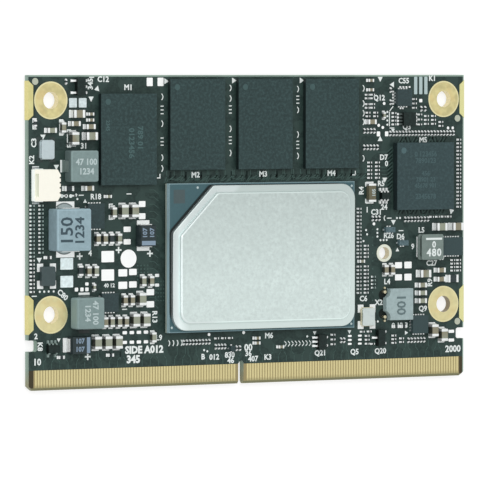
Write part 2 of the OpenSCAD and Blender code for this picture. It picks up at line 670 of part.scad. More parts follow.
module memory_chip_left() {
    memory_package(1, memory_y);
}

module memory_chip_middle() {
    memory_package(2, memory_y);
}

module memory_chip_right() {
    memory_package(3, memory_y);
}

module memory_balls() {
    color("silver") for (i = [0:3]) for (p = ball_ring(memory_w, memory_l, memory_ball_pitch))
        translate([memory_x + i * memory_pitch + p.x, (i == 0 ? storage_y : memory_y) + p.y, top_z])
            ball(small_ball_d, small_ball_h);
}

module controller_chip() {
    color("darkslategray") translate([spot(controller_at).x, spot(controller_at).y, top_z])
        moulded_package(controller_w, controller_w, small_ball_h, controller_h);
}

module controller_balls() {
    color("silver") translate([spot(controller_at).x, spot(controller_at).y, top_z])
        for (p = ball_ring(controller_w, controller_w, memory_ball_pitch)) translate(p)
            ball(small_ball_d, small_ball_h);
}

// Pressed inductor body that stands on its terminal strips
module pressed_body(l, w, h) {
    edge_r = 0.35;
    translate([0, 0, strip_t]) linear_extrude(h - strip_t) round_rect(l, w, edge_r);
}

// Two terminal strips and their lands, one at each end of a body, climbing a share of its height
module end_clips(half_l, w, body_h, land_out = 0.75) {
    under = 1.2;
    climb = 0.6;
    land_side = 0.1;
    for (turn = [0, 180]) rotate(turn) {
        terminal_clip(half_l, w, under, climb * body_h);
        translate([half_l + (land_out - under) / 2, 0, -pad_t])
            block([under + land_out, w + 2 * land_side, pad_t]);
    }
}

module large_choke() {
    color("lightslategray") seat(large_choke_at) pressed_body(large_choke_l, large_choke_w, large_choke_h);
}

module large_choke_terminals() {
    color("silver") seat(large_choke_at) end_clips(large_choke_l / 2, large_choke_w / 2, large_choke_h, 1.1);
}

module upper_choke() {
    color("slategray") seat(upper_choke_at) pressed_body(choke_w, choke_w, choke_h);
}

module lower_choke() {
    color("slategray") seat(lower_choke_at) pressed_body(choke_w, choke_w, choke_h);
}

module choke_terminals() {
    strip_w = 1.8;
    color("silver") for (p = [upper_choke_at, lower_choke_at]) seat(p)
        end_clips(choke_w / 2, strip_w, choke_h);
}

// Square ferrite drum: two flanges joined by a round post
drum_flange = 0.25 * drum_h;
drum_post_d = 0.4 * drum_w;
drum_waist = drum_h - strip_t - 2 * drum_flange;
module drum_core() {
    corner_r = 0.3;
    color("gray") seat(drum_at) translate([0, 0, strip_t]) {
        for (z = [0, drum_flange + drum_waist]) translate([0, 0, z])
            linear_extrude(drum_flange) round_rect(drum_w, drum_w, corner_r);
        translate([0, 0, drum_flange]) cylinder(d = drum_post_d, h = drum_waist);
    }
}

// Winding under its resin, set back from the flanges
module drum_winding() {
    side = drum_w - 0.4;
    corner_r = 0.8;
    color("dimgray") seat(drum_at) translate([0, 0, strip_t + drum_flange])
        linear_extrude(drum_waist) difference() {
            round_rect(side, side, corner_r);
            circle(d = drum_post_d);
        }
}

module drum_terminals() {
    strip = [1.2, drum_w - 0.8, strip_t + pad_t];
    out = 0.1;
    color("silver") seat(drum_at) for (s = [-1, 1])
        translate([s * (drum_w / 2 + out - strip.x / 2), 0, -pad_t]) block(strip);
}

// Low pressed inductor with a round recess at each of its terminal corners
module low_choke() {
    recess_r = 1.1;
    recess_at = [low_choke_w / 2 + 0.3, low_choke_w / 2 - 0.45];
    corner_r = 0.1;
    color("darkgray") seat(low_choke_at) translate([0, 0, strip_t])
        linear_extrude(low_choke_h - strip_t) difference() {
            round_rect(low_choke_w, low_choke_w, corner_r);
            for (s = [-1, 1]) translate([-recess_at.x, s * recess_at.y]) circle(recess_r);
        }
}

// Terminal strips under the low inductor and the wire ends that stand in its recesses
module low_choke_terminals() {
    wire_d = 0.55;
    tail_d = 0.4;
    wire_in = 0.15;
    wire_h = 0.5 * low_choke_h;
    tail_step = [0.15, 0.65];
    strip_w = 1;
    strip_in = 0.9;
    strip_y = low_choke_w / 2 - 0.55;
    color("peru") seat(low_choke_at) for (s = [-1, 1]) translate([0, s * strip_y, 0]) {
        translate([strip_in / 2, 0, -pad_t]) block([low_choke_w - strip_in, strip_w, strip_t + pad_t]);
        translate([wire_in - low_choke_w / 2, 0, -pad_t]) {
            cylinder(d = wire_d, h = wire_h);
            translate([tail_step.x, s * tail_step.y]) cylinder(d = tail_d, h = wire_h / 2);
        }
    }
}

// Moulded tantalum body, a little narrower at its top
module tantalum_bodies() {
    draft = 0.16;
    thin = 0.01;
    straight_h = 0.6 * tantalum_h;
    color("black") for (p = tantalums_at) seat(p) translate([0, 0, strip_t]) hull() {
        block([tantalum_size.x, tantalum_size.y, straight_h]);
        translate([0, 0, tantalum_h - strip_t - thin])
            block([tantalum_size.x - draft, tantalum_size.y - draft, thin]);
    }
}

module tantalum_terminals() {
    strip_w = 2.1;
    color("silver") for (p = tantalums_at) seat(p) end_clips(tantalum_size.x / 2, strip_w, tantalum_h);
}

// Contacts of the cable connector, measured from the middle of its housing
socket_w = (socket_pins - 1) * socket_pitch + 2 * socket_cheek;
contact_w = 0.3;
contact_t = 0.2;
contact_z = 1.6;
contact_gap = 0.02;
function pin_y(i) = (i - (socket_pins - 1) / 2) * socket_pitch;

// Outline of the housing, with its two back corners cut off
module socket_plan() {
    cut = [0.55, 0.85];
    x = socket_depth / 2;
    y = socket_w / 2;
    polygon([
        [-x, -y], [x - cut.x, -y], [x, cut.y - y], [x, y - cut.y], [x - cut.x, y], [-x, y]
    ]);
}

// Housing with its mouth towards the board edge and a slot at the back for each contact
module socket_housing() {
    mouth_floor = 1.1;
    mouth_roof = 0.2;
    mouth_cheek = 0.7;
    back_wall = 1.5;
    color("ivory") seat(socket_at) difference() {
        linear_extrude(socket_h) socket_plan();
        translate([-back_wall, 0, mouth_floor])
            block([socket_depth, socket_w - 2 * mouth_cheek, socket_h - mouth_floor - mouth_roof]);
        for (i = [0:socket_pins - 1]) translate([socket_depth / 2, pin_y(i), contact_z])
            cube([2 * back_wall, contact_w + 2 * contact_gap, contact_t + 2 * contact_gap], center = true);
    }
}

// Bent contacts: a pin in the mouth, a stretch through the back, and a foot on the board
module socket_contacts() {
    tip = 0.9 - socket_depth / 2;
    bend = socket_depth / 2 + 0.15;
    tail = socket_depth / 2 + 1;
    low = contact_z - contact_t / 2;
    high = contact_z + contact_t / 2;
    color("silver") seat(socket_at) for (i = [0:socket_pins - 1]) translate([0, pin_y(i), 0])
        rotate([90, 0, 0]) linear_extrude(contact_w, center = true) polygon([
            [tip, low], [tip, high], [bend + contact_t, high], [bend + contact_t, contact_t],
            [tail, contact_t], [tail, -pad_t], [bend, -pad_t], [bend, low]
        ]);
}

// Metal clips that hold the two ends of the housing to the board
module socket_clips() {
    clip_l = 1.2;
    clip_in = 0.7;
    clip_h = 0.6 * socket_h;
    foot = 0.5;
    color("silver") seat(socket_at) for (s = [0, 1]) mirror([0, s, 0])
        translate([clip_in - socket_depth / 2, socket_w / 2, 0])
            rotate([90, 0, 90]) linear_extrude(clip_l, center = true) polygon([
                [0, -pad_t], [foot, -pad_t], [foot, strip_t], [strip_t, strip_t],
                [strip_t, clip_h], [0, clip_h]
            ]);
}

// Clock parts stand on four corner lands that show around them
crystal_size = [3.1, 2.5];
crystal_base_h = 0.6 * crystal_h;
crystal_r = 0.3;
module corner_lands() {
    land = [1.3, 1.1];
    show = land_reach + 0.15;
    x = crystal_size.x / 2 + show - land.x / 2;
    y = crystal_size.y / 2 + show - land.y / 2;
    for (sx = [-1, 1]) for (sy = [-1, 1]) translate([sx * x, sy * y, -pad_t])
        block([land.x, land.y, pad_t]);
}

module oscillator() {
    color("black") seat(oscillator_at) linear_extrude(crystal_h)
        round_rect(crystal_size.x, crystal_size.y, crystal_r);
}

// Ceramic bases with a quarter-round hollow in each corner
module crystal_bases() {
    hollow_r = 0.25;
    color("tan") for (p = crystals_at) seat(p) linear_extrude(crystal_base_h) difference() {
        square(crystal_size, center = true);
        for (sx = [-1, 1]) for (sy = [-1, 1])
            translate([sx * crystal_size.x / 2, sy * crystal_size.y / 2]) circle(hollow_r);
    }
}

module crystal_lids() {
    ledge = 0.08;
    lid = [crystal_size.x - 2 * ledge, crystal_size.y - 2 * ledge];
    color("gainsboro") for (p = crystals_at) seat(p) translate([0, 0, crystal_base_h])
        linear_extrude(crystal_h - crystal_base_h) round_rect(lid.x, lid.y, crystal_r);
}

module large_capacitor_bodies() {
    color("darkkhaki") for (p = large_capacitors) seat(p) two_ended_body(size_0805);
}

module large_capacitor_ends() {
    color("silver") for (p = large_capacitors) seat(p) two_ended_ends(size_0805);
}

module medium_capacitor_bodies() {
    color("darkkhaki") for (p = medium_capacitors) seat(p) two_ended_body(size_0603);
}

module medium_capacitor_ends() {
    color("silver") for (p = medium_capacitors) seat(p) two_ended_ends(size_0603);
}

module small_capacitor_bodies() {
    color("tan") for (p = small_capacitors) seat(p) two_ended_body(size_0402);
}

module small_capacitor_ends() {
    color("silver") for (p = small_capacitors) seat(p) two_ended_ends(size_0402);
}

module resistor_bodies() {
    color("black") for (p = resistors) seat(p) two_ended_body(p[4]);
}

module resistor_ends() {
    color("silver") for (p = resistors) seat(p) two_ended_ends(p[4]);
}

module tiny_part_bodies() {
    color("dimgray") for (p = tiny_parts) seat(p) two_ended_body(size_0201);
}

module tiny_part_ends() {
    color("silver") for (p = tiny_parts) seat(p) two_ended_ends(size_0201);
}

module fuse_body() {
    color("olive") seat(fuse_at) two_ended_body(fuse_size);
}

module fuse_ends() {
    color("silver") seat(fuse_at) two_ended_ends(fuse_size);
}

// Contacts around the foot of a leadless package
contact_foot = [0.28, 0.2, 0.1];
contact_pitch = 0.5;

module flat_chips() {
    color("darkslategray") for (p = flat_packages) seat(p)
        translate([0, 0, contact_foot.z]) block([p[4], p[5], flat_h - contact_foot.z]);
}

module flat_chip_contacts() {
    under = 0.25;
    color("silver") for (p = flat_packages) seat(p) for (s = [-1, 1]) {
        for (x = along(max(0, p[4] - 2 * contact_pitch), contact_pitch))
            translate([x, s * (p[5] / 2 + (contact_foot.y - under) / 2), -pad_t])
                block([contact_foot.x, contact_foot.y + under, contact_foot.z + pad_t]);
        for (y = along(max(0, p[5] - 2 * contact_pitch), contact_pitch))
            translate([s * (p[4] / 2 + (contact_foot.y - under) / 2), y, -pad_t])
                block([contact_foot.y + under, contact_foot.x, contact_foot.z + pad_t]);
    }
}

module leaded_chips() {
    stand_off = 0.1;
    color("black") for (p = leaded_packages) seat(p)
        translate([0, 0, stand_off]) block([p[4], p[5], leaded_h - stand_off]);
}

module chip_leads() {
    lead_w = 0.32;
    lead_out = 0.75;
    shoulder_z = 0.55 * leaded_h;
    land = [0.55, 0.42, pad_t];
    color("silver") for (p = leaded_packages) seat(p) for (side = [0, 1])
        for (k = p[6 + side]) translate([(2 * side - 1) * p[4] / 2, k * p[8], 0])
            mirror([1 - side, 0, 0]) {
                bent_lead(lead_w, shoulder_z, lead_out);
                translate([lead_out - land.x / 2, 0, -pad_t]) block(land);
            }
}

// Turns a part to hang under the board
module under_seat(p) {
    translate([p.x, p.y, lift - pad_t]) mirror([0, 0, 1]) children();
}

module underside_capacitor_bodies() {
    color("tan") for (p = underside_spots) under_seat(p) two_ended_body(size_0402);
}

module underside_capacitor_ends() {
    color("silver") for (p = underside_spots) under_seat(p) {
        two_ended_ends(size_0402);
        two_ended_lands(size_0402);
    }
}

circuit_board();
fingers_top();
fingers_bottom();
mounting_lands();
edge_plating();
heatsink_hole_ring();
heatsink_pad();
bare_pads();
part_lands();
fiducials();
processor_balls();
processor_substrate();
processor_dies();
thermal_compound();
lid_sealant();
heat_spreader_lid();
storage_chip();
memory_chip_left();
memory_chip_middle();
memory_chip_right();
memory_balls();
controller_chip();
controller_balls();
large_choke();
large_choke_terminals();
upper_choke();
lower_choke();
choke_terminals();
drum_core();
drum_winding();
drum_terminals();
low_choke();
low_choke_terminals();
tantalum_bodies();
tantalum_terminals();
socket_housing();
socket_contacts();
socket_clips();
oscillator();
crystal_bases();
crystal_lids();
large_capacitor_bodies();
large_capacitor_ends();
medium_capacitor_bodies();
medium_capacitor_ends();
small_capacitor_bodies();
small_capacitor_ends();
resistor_bodies();
resistor_ends();
tiny_part_bodies();
tiny_part_ends();
flat_chips();
flat_chip_contacts();
leaded_chips();
chip_leads();
fuse_body();
fuse_ends();
underside_capacitor_bodies();
underside_capacitor_ends();
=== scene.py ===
"""Looks of a system on module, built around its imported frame."""
import math

import bmesh
import bpy
from mathutils import Matrix, Vector


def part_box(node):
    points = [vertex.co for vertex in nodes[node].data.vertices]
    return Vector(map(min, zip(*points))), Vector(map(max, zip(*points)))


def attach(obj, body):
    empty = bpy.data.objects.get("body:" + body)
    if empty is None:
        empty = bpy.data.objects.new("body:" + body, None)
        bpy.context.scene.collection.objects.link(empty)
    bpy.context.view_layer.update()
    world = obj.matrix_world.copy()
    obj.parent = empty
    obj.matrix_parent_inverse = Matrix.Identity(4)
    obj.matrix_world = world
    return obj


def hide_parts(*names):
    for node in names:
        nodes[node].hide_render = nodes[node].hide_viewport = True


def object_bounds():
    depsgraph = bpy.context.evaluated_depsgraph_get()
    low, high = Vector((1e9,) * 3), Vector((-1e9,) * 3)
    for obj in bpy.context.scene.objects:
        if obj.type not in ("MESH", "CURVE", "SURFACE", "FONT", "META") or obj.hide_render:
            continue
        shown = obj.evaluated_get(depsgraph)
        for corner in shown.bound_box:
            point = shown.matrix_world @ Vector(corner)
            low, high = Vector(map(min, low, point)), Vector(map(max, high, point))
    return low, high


bl_info = {
    "name": "System on module looks",
    "version": (1, 0, 0),
    "blender": (4, 5, 0),
    "location": "3D View > Sidebar > Module",
    "description": "Dresses the packed module with finishes, solder, print and a studio",
    "category": "Object",
}

MM = 0.001
# Corners of a solid that lie this near to each other are one corner
WELD = 0.0015 * MM
# Height of a capital letter as a share of the font size
CAPITAL = 0.69

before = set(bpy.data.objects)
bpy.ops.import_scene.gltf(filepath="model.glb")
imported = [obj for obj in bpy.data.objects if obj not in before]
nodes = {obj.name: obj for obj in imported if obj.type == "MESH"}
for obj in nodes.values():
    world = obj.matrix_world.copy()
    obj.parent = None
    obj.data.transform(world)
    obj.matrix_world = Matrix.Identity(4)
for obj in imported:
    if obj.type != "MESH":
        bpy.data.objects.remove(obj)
cad_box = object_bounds()
board_low, board_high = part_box("circuit_board")
BOARD_BOTTOM = board_low.z
BOARD_TOP = board_high.z
FINGER_EDGE = board_low.y
BACK_EDGE = board_high.y
SIDE_EDGE = board_high.x


def display(red, green, blue):
    """Linear colour of an eight-bit colour as a screen shows it."""
    linear = []
    for part in (red, green, blue):
        share = part / 255
        linear.append(share / 12.92 if share <= 0.04045 else ((share + 0.055) / 1.055) ** 2.4)
    return tuple(linear)


def colour(name, description, red, green, blue):
    """Colour property given as a screen shows it."""
    return bpy.props.FloatVectorProperty(
        name=name, description=description, subtype="COLOR", size=3, min=0, max=1,
        default=display(red, green, blue))


def length(name, description, millimetres):
    """Length property given in millimetres."""
    return bpy.props.FloatProperty(
        name=name, description=description, unit="LENGTH", subtype="DISTANCE", precision=6,
        min=0, default=millimetres * MM)


class BoardColours(bpy.types.PropertyGroup):
    """Colours of the bare board and its metal"""

    mask: colour("Solder mask", "Dark coating of both faces", 34, 50, 47)
    track: colour("Covered copper", "Coating where copper lies under it", 48, 66, 62)
    wall: colour("Board wall", "Routed laminate at the sides", 168, 192, 178)
    bare: colour("Bare laminate", "Uncoated strip around the fingers", 154, 141, 102)
    bevel: colour("Bevel", "Ground lead-in of the contact edge", 132, 131, 98)
    low_wall: colour("Lower wall", "Board wall beside the fingers", 172, 160, 118)
    gold: colour("Gold", "Plated fingers", 214, 202, 150)
    land_gold: colour("Land gold", "Plated lands of the mounting holes", 206, 196, 142)
    stained_gold: colour("Stained gold", "Warm patches on those lands", 216, 190, 132)
    rim_gold: colour("Rim gold", "Pale rim of those lands", 224, 217, 170)
    barrel: colour("Barrel", "Plated wall of those holes", 242, 230, 186)
    # Painted shade on the barrel wall of the lower right hole
    shaded_barrel: colour("Dull barrel", "That wall in the lower right hole", 150, 138, 112)
    plate: colour("Edge plate", "Plating around the right board edge", 224, 221, 160)
    left_plate: colour("Left edge plate", "Plating around the left board edge", 206, 198, 134)
    plate_wall: colour("Edge plate wall", "Side of that plating", 230, 220, 150)
    ring: colour("Heatsink ring", "Thinly plated heatsink hole", 226, 230, 214)
    ring_wall: colour("Heatsink hole wall", "Plated wall of that hole", 222, 212, 182)
    fiducial: colour("Round marks", "Bare alignment marks", 184, 190, 172)
    pad: colour("Bare pads", "Freshly tinned pads", 249, 251, 250)
    used_pad: colour("Used pads", "Pads that solder has dulled", 208, 221, 222)
    thin_pad: colour("Thin pads", "Three long pads with little tin", 176, 194, 194)
    tin: colour("Tin", "Tinned part ends", 238, 242, 241)
    # Painted shade on tin near the parts
    shaded_tin: colour("Dull tin", "Tin in the shade of the parts", 116, 132, 128)
    solder: colour("Solder", "Solder around the parts", 242, 246, 245)
    ink: colour("Print", "White printed legend", 238, 245, 243)


class PackageColours(bpy.types.PropertyGroup):
    """Colours of the parts on the board"""

    lid: colour("Lid", "Nickel of the processor lid", 210, 223, 220)
    # Painted light on the flange at the left of the lid
    lid_flange_light: colour("Lid flange", "Bright flange at the left of the lid", 216, 226, 225)
    substrate: colour("Substrate", "Coated laminate of the processor", 62, 93, 99)
    substrate_wall: colour("Substrate wall", "Cut sides of that laminate", 168, 200, 208)
    substrate_core: colour("Substrate core", "Pale core between them", 164, 176, 166)
    substrate_field: colour("Substrate field", "Plain grey field on that laminate", 82, 98, 100)
    mould: colour("Mould compound", "Memory chips", 43, 60, 60)
    controller: colour("Controller compound", "Square controller chip", 52, 70, 72)
    small_mould: colour("Small chip compound", "Small chips with leads", 24, 36, 34)
    flat_mould: colour("Flat chip compound", "Flat chips without leads", 46, 61, 62)
    blue_chip: colour("Blue chip", "Two bare chips beside the heatsink hole", 92, 114, 120)
    ferrite_grey: colour("Grey ferrite", "Upper and lower inductors", 118, 137, 136)
    ferrite_blue: colour("Blue ferrite", "Large inductor", 137, 160, 168)
    ferrite_pale: colour("Pale ferrite", "Low inductor", 150, 168, 169)
    ferrite_drum: colour("Drum ferrite", "Wound drum inductor", 112, 126, 121)
    resin: colour("Winding resin", "Coating of the winding", 88, 100, 96)
    copper: colour("Wire ends", "Bare wire of the low inductor", 210, 202, 172)
    # Painted shadow around the wire ends of the low inductor
    painted_recess_shadow: colour("Recess", "Shadowed foot around those ends", 24, 32, 30)
    # Painted shade where the feet of the large inductor bend
    bend: colour("Terminal bends", "Bent feet of the large inductor", 158, 172, 173)
    tantalum: colour("Tantalum case", "Moulded capacitors", 36, 48, 50)
    stripe: colour("Polarity stripe", "Band on the moulded capacitors", 136, 156, 174)
    ivory: colour("Connector plastic", "Cable connector housing", 249, 247, 234)
    ceramic_tan: colour("Tan ceramic", "Capacitor bodies", 152, 158, 140)
    ceramic_brown: colour("Brown ceramic", "Some of the capacitor bodies", 141, 134, 112)
    resistor: colour("Resistor glaze", "Dark resistor tops", 44, 54, 56)
    crystal: colour("Right crystal", "Metal lid of the right clock crystal", 200, 211, 208)
    cool_crystal: colour("Left crystal", "Metal lid of the left clock crystal", 188, 202, 205)
    crystal_base: colour("Crystal base", "Ceramic of the right clock crystal", 220, 213, 184)
    oscillator: colour("Oscillator", "Dark can of the oscillator", 60, 74, 75)
    fuse: colour("Fuse", "Brown fuse body", 100, 97, 78)


class RoundedEdges(bpy.types.PropertyGroup):
    """Edge rounding of the parts"""

    lid: length("Lid", "Stamped edges of the processor lid", 0.2)
    chip: length("Chips", "Moulded chip edges", 0.05)
    choke: length("Inductors", "Pressed inductor edges", 0.36)
    drum: length("Drum", "Drum and low inductor edges", 0.12)
    strip: length("Terminals", "Bent strips and leads", 0.03)
    socket: length("Connector", "Moulded connector edges", 0.06)
    end: length("Ends", "Metal ends of the two-ended parts", 0.05)
    body: length("Ceramic", "Bodies of the two-ended parts", 0.03)


class StudioSizes(bpy.types.PropertyGroup):
    """Camera and light"""

    lens: bpy.props.FloatProperty(
        name="Lens", description="Focal length on a 36 mm wide sensor", unit="CAMERA", default=366.39)
    place: bpy.props.FloatVectorProperty(
        name="Camera place", description="Where the camera stands", subtype="TRANSLATION", unit="LENGTH",
        size=3, default=(-0.42122, 0.02647, 0.71122))
    turn: bpy.props.FloatVectorProperty(
        name="Camera turn", description="How the camera is turned", subtype="EULER", unit="ROTATION",
        size=3, default=(math.radians(-2.088), math.radians(-30.680), math.radians(0.031)))
    ambient: bpy.props.FloatProperty(
        name="Ambient light", description="Strength of the white surroundings on dull surfaces",
        default=0.72)
    key: bpy.props.FloatProperty(
        name="Key lamp", description="Power of the soft lamp", unit="POWER", default=1.3)
    floor: length("Floor half width", "Half the width of the pale floor", 1500)


class Wire:
    """A shader socket that takes part in plain expressions."""

    def __init__(self, finish, socket):
        self.finish = finish
        self.socket = socket

    def maths(self, operation, left, right):
        return self.finish.node("ShaderNodeMath", {"operation": operation}, 0, {0: left, 1: right})

    def __add__(self, other):
        return self.maths("ADD", self, other)

    def __radd__(self, other):
        return self.maths("ADD", other, self)

    def __sub__(self, other):
        return self.maths("SUBTRACT", self, other)

    def __rsub__(self, other):
        return self.maths("SUBTRACT", other, self)

    def __mul__(self, other):
        return self.maths("MULTIPLY", self, other)

    def __rmul__(self, other):
        return self.maths("MULTIPLY", other, self)

    def __gt__(self, other):
        return self.maths("GREATER_THAN", self, other)

    def __lt__(self, other):
        return self.maths("LESS_THAN", self, other)

    def __abs__(self):
        return self.finish.node("ShaderNodeMath", {"operation": "ABSOLUTE"}, 0, {0: self})


class Graph:
    """A node tree that hands out wires."""

    def __init__(self, tree):
        self.tree = tree

    def node(self, kind, settings, output, inputs):
        made = self.tree.nodes.new(kind)
        for name, value in settings.items():
            setattr(made, name, value)
        for name, value in inputs.items():
            self.feed(made.inputs[name], value)
        return Wire(self, made.outputs[output])

    def feed(self, socket, value):
        if isinstance(value, Wire):
            self.tree.links.new(value.socket, socket)
        elif socket.type == "RGBA" and len(value) == 3:
            socket.default_value = (*value, 1)
        else:
            socket.default_value = value

    def mix(self, share, first, second):
        settings = {"data_type": "RGBA", "blend_type": "MIX", "clamp_factor": True}
        return self.node("ShaderNodeMix", settings, 2, {0: share, 6: first, 7: second})

    def by_ray(self, plain, seen):
        """One colour for dull rays and another for eyes, mirrors and glass."""
        hidden = 1
        for name in ("Is Camera Ray", "Is Glossy Ray", "Is Transmission Ray"):
            hidden = hidden * (1 - self.node("ShaderNodeLightPath", {}, name, {}))
        return self.mix(hidden, seen, plain)


class Finish(Graph):
    """A procedural material with one Principled shader, whose colour is laid in coats."""

    def __init__(self, name, **constants):
        self.material = bpy.data.materials.new(name)
        self.material.use_nodes = True
        super().__init__(self.material.node_tree)
        self.shader = self.tree.nodes["Principled BSDF"]
        self.object = self.node("ShaderNodeTexCoord", {}, "Object", {})
        for socket, value in constants.items():
            self.shader.inputs[socket.replace("_", " ")].default_value = value

    def noise(self, scale, detail=2, roughness=0.5, stretch=(1, 1, 1)):
        """Noise whose grains are about 1 / scale metres wide."""
        place = self.node("ShaderNodeMapping", {}, 0, {"Vector": self.object, "Scale": stretch})
        inputs = {"Vector": place, "Scale": scale, "Detail": detail, "Roughness": roughness}
        return self.node("ShaderNodeTexNoise", {"noise_dimensions": "3D"}, "Fac", inputs)

    def axis(self, name):
        return self.node("ShaderNodeSeparateXYZ", {}, name, {0: self.object})

    def facing(self, name):
        """Part of the surface normal along an axis."""
        normal = self.node("ShaderNodeNewGeometry", {}, "Normal", {})
        return self.node("ShaderNodeSeparateXYZ", {}, name, {0: normal})

    def upright(self, high=0.5, low=0.1):
        """1 on walls and 0 on level faces, looking up or down."""
        return self.step(abs(self.facing("Z")), high, low)

    def step(self, value, low, high):
        """Rises from 0 to 1 while the value goes from low to high."""
        inputs = {"Value": value, "From Min": low, "From Max": high}
        return self.node("ShaderNodeMapRange", {"clamp": True}, 0, inputs)

    def vary(self, share, tint, low, high):
        """Goes from one shade of a tint to another."""
        return self.mix(share, shade(tint, low), shade(tint, high))

    def inside(self, left, right, front, back):
        """1 where X and Y lie inside these limits in millimetres."""
        across = self.axis("X")
        along = self.axis("Y")
        return (across > left * MM) * (across < right * MM) * (along > front * MM) * (along < back * MM)

    def bump(self, height, distance):
        """Relief whose full height is a distance in millimetres."""
        inputs = {"Height": height, "Distance": distance * MM}
        self.wear(Normal=self.node("ShaderNodeBump", {}, 0, inputs))

    def start(self, tone):
        """Sets the colour that the coats go over."""
        self.tone = tone

    def coat(self, share, tone):
        """Covers a share of the colour so far with another one."""
        self.tone = self.mix(share, self.tone, tone)

    def done(self, fine, rough, spread, height, relief=None):
        """The material with its colour, and with gloss and relief that follow a fine noise."""
        self.wear(Base_Color=self.tone, Roughness=rough + fine * spread)
        self.bump(relief or fine, height)
        return self.material

    def wear(self, **sockets):
        """Feeds shader sockets that change over the surface."""
        for socket, value in sockets.items():
            self.feed(self.shader.inputs[socket.replace("_", " ")], value)


def shade(tint, factor):
    """Darker or paler version of a colour."""
    return tuple(min(1, part * factor) for part in tint)


def looks():
    """All the settings of this scene."""
    return bpy.context.scene.module_looks


def metal(name, tint, rough, metallic=1.0, grain=900, spread=0.12, height=0.004,
          wall=None, left=None, foot=None):
    """Metal with uneven gloss and slight tarnish; walls, left half and finger ends may differ."""
    finish = Finish(name, Metallic=metallic)
    fine = finish.noise(grain, 3, 0.6)
    finish.start(finish.vary(finish.noise(140, 2), tint, 0.9, 1.06))
    if left:
        finish.coat(finish.axis("X") < 0, left)
    finish.coat(finish.step(fine, 0.35, 0.75) * 0.8, shade(tint, 0.94))
    if foot:
        near = finish.step(finish.axis("Y"), FINGER_EDGE + 1 * MM, FINGER_EDGE + 0.4 * MM)
        finish.coat(near * 0.7, foot)
    finish.coat(finish.upright(), wall or tint)
    return finish.done(fine, rough - spread / 2, spread, height)


def dull(name, tint, rough, grain=2500, spread=0.18, height=0.006, gloss=0.22, tone=0.16, edge_highlight=0.0,
         side=None):
    """Moulded or pressed material with a fine grain, a painted highlight on its rounded edges, and sides
    that may get painted shade or painted light.
    """
    finish = Finish(name, Specular_IOR_Level=gloss)
    fine = finish.noise(grain, 3, 0.6)
    finish.start(finish.vary(finish.noise(160, 2), tint, 1 - tone / 2, 1 + tone / 2))
    finish.coat(finish.step(fine, 0.3, 0.7), shade(tint, 1 + tone))
    # A side factor below 1 paints shade on the walls, and one above 1 paints light on them
    if side:
        finish.coat(finish.upright(), shade(tint, side))
    # Painted highlight on the rounded edges
    upward = finish.facing("Z")
    rounded = (upward > 0.2) * (upward < 0.96)
    finish.coat(rounded * edge_highlight, shade(tint, 2))
    return finish.done(fine, rough - spread / 2, spread, height)


def moulded(name, tint, top, speck=1.8):
    """Mould compound with pale specks, painted shade on its sawn sides and a smooth pin-one dimple."""
    finish = Finish(name, Specular_IOR_Level=0.2)
    fine = finish.noise(2200, 3, 0.65)
    finish.start(finish.vary(finish.noise(150, 2), tint, 0.8, 1.16))
    finish.coat(finish.step(fine, 0.44, 0.7), shade(tint, speck))
    upward = finish.facing("Z")
    dimple = (finish.axis("Z") < top - 0.02 * MM) * (upward > 0.9)
    finish.coat(dimple * 0.9, shade(tint, 2.3))
    # Painted shade on the sides
    finish.coat(finish.step(upward, 0.6, 0.2), shade(tint, 0.4))
    return finish.done(fine, 0.42, 0.2, 0.01)


def stained_lands(tints):
    """Gold of the mounting lands: stained in patches, pale at the rim, cream in the barrel, with painted
    shade in the barrel of the lower right hole.
    """
    rim = 0.32 * MM
    spare = 0.1 * MM
    finish = Finish("land_gold", Metallic=0.6)
    patches = finish.step(finish.noise(620, 2, 0.6), 0.36, 0.64)
    finish.start(finish.vary(patches, tints.land_gold, 0.86, 1.13))
    lower = finish.axis("Y") < 0
    finish.coat(lower * 0.45, tints.rim_gold)
    warm = finish.step(finish.noise(480, 2), 0.5, 0.7)
    finish.coat(warm * 0.45, tints.stained_gold)
    for low, high in solid_boxes("mounting_lands"):
        across = finish.axis("X") - (low.x + high.x) / 2
        along = finish.axis("Y") - (low.y + high.y) / 2
        away = across * across + along * along
        outer = (high.x - low.x) / 2 + spare
        inner = outer - rim
        finish.coat((away > inner * inner) * (away < outer * outer), tints.rim_gold)
    # Painted shade in the barrel of the lower right hole
    barrel = finish.mix(lower * (finish.axis("X") > 0), tints.barrel, tints.shaded_barrel)
    finish.coat(finish.upright(), barrel)
    return finish.done(finish.noise(900, 3, 0.6), 0.34, 0.14, 0.004)


def pad_tin(tints):
    """Bright tin of the bare pads, mottled grey on the used ones and thin on the long ones."""
    finish = Finish("pad_tin", Metallic=0.7)
    fine = finish.noise(1600, 3, 0.6)
    patches = finish.step(fine, 0.3, 0.7)
    dulled = finish.vary(patches, tints.used_pad, 0.84, 1.15)
    cleaned = finish.vary(patches, tints.used_pad, 0.98, 1.32)
    finish.start(finish.vary(fine, tints.pad, 0.96, 1))
    finish.coat(finish.inside(-42, -30, 19, 26), dulled)
    finish.coat(finish.inside(-42, -33, -10.5, -2), cleaned)
    finish.coat(finish.inside(31, 42, 21.5, 26), tints.thin_pad)
    return finish.done(fine, 0.4, 0.16, 0.01)


def land_solder(tints):
    """Solder on the lands; those of the left crystal get painted shade in the mask's colour."""
    finish = Finish("land_solder", Metallic=0.1)
    fine = finish.noise(1800, 3, 0.6)
    finish.start(finish.vary(fine, tints.solder, 0.9, 1.04))
    low, high = (corner / MM for corner in solid_boxes("crystal_bases")[0])
    reach = 0.75
    crystal_shade = finish.inside(low.x - reach, high.x + reach, low.y - reach, high.y + reach)
    finish.coat(crystal_shade, tints.mask)
    return finish.done(fine, 0.35, 0.2, 0.014)


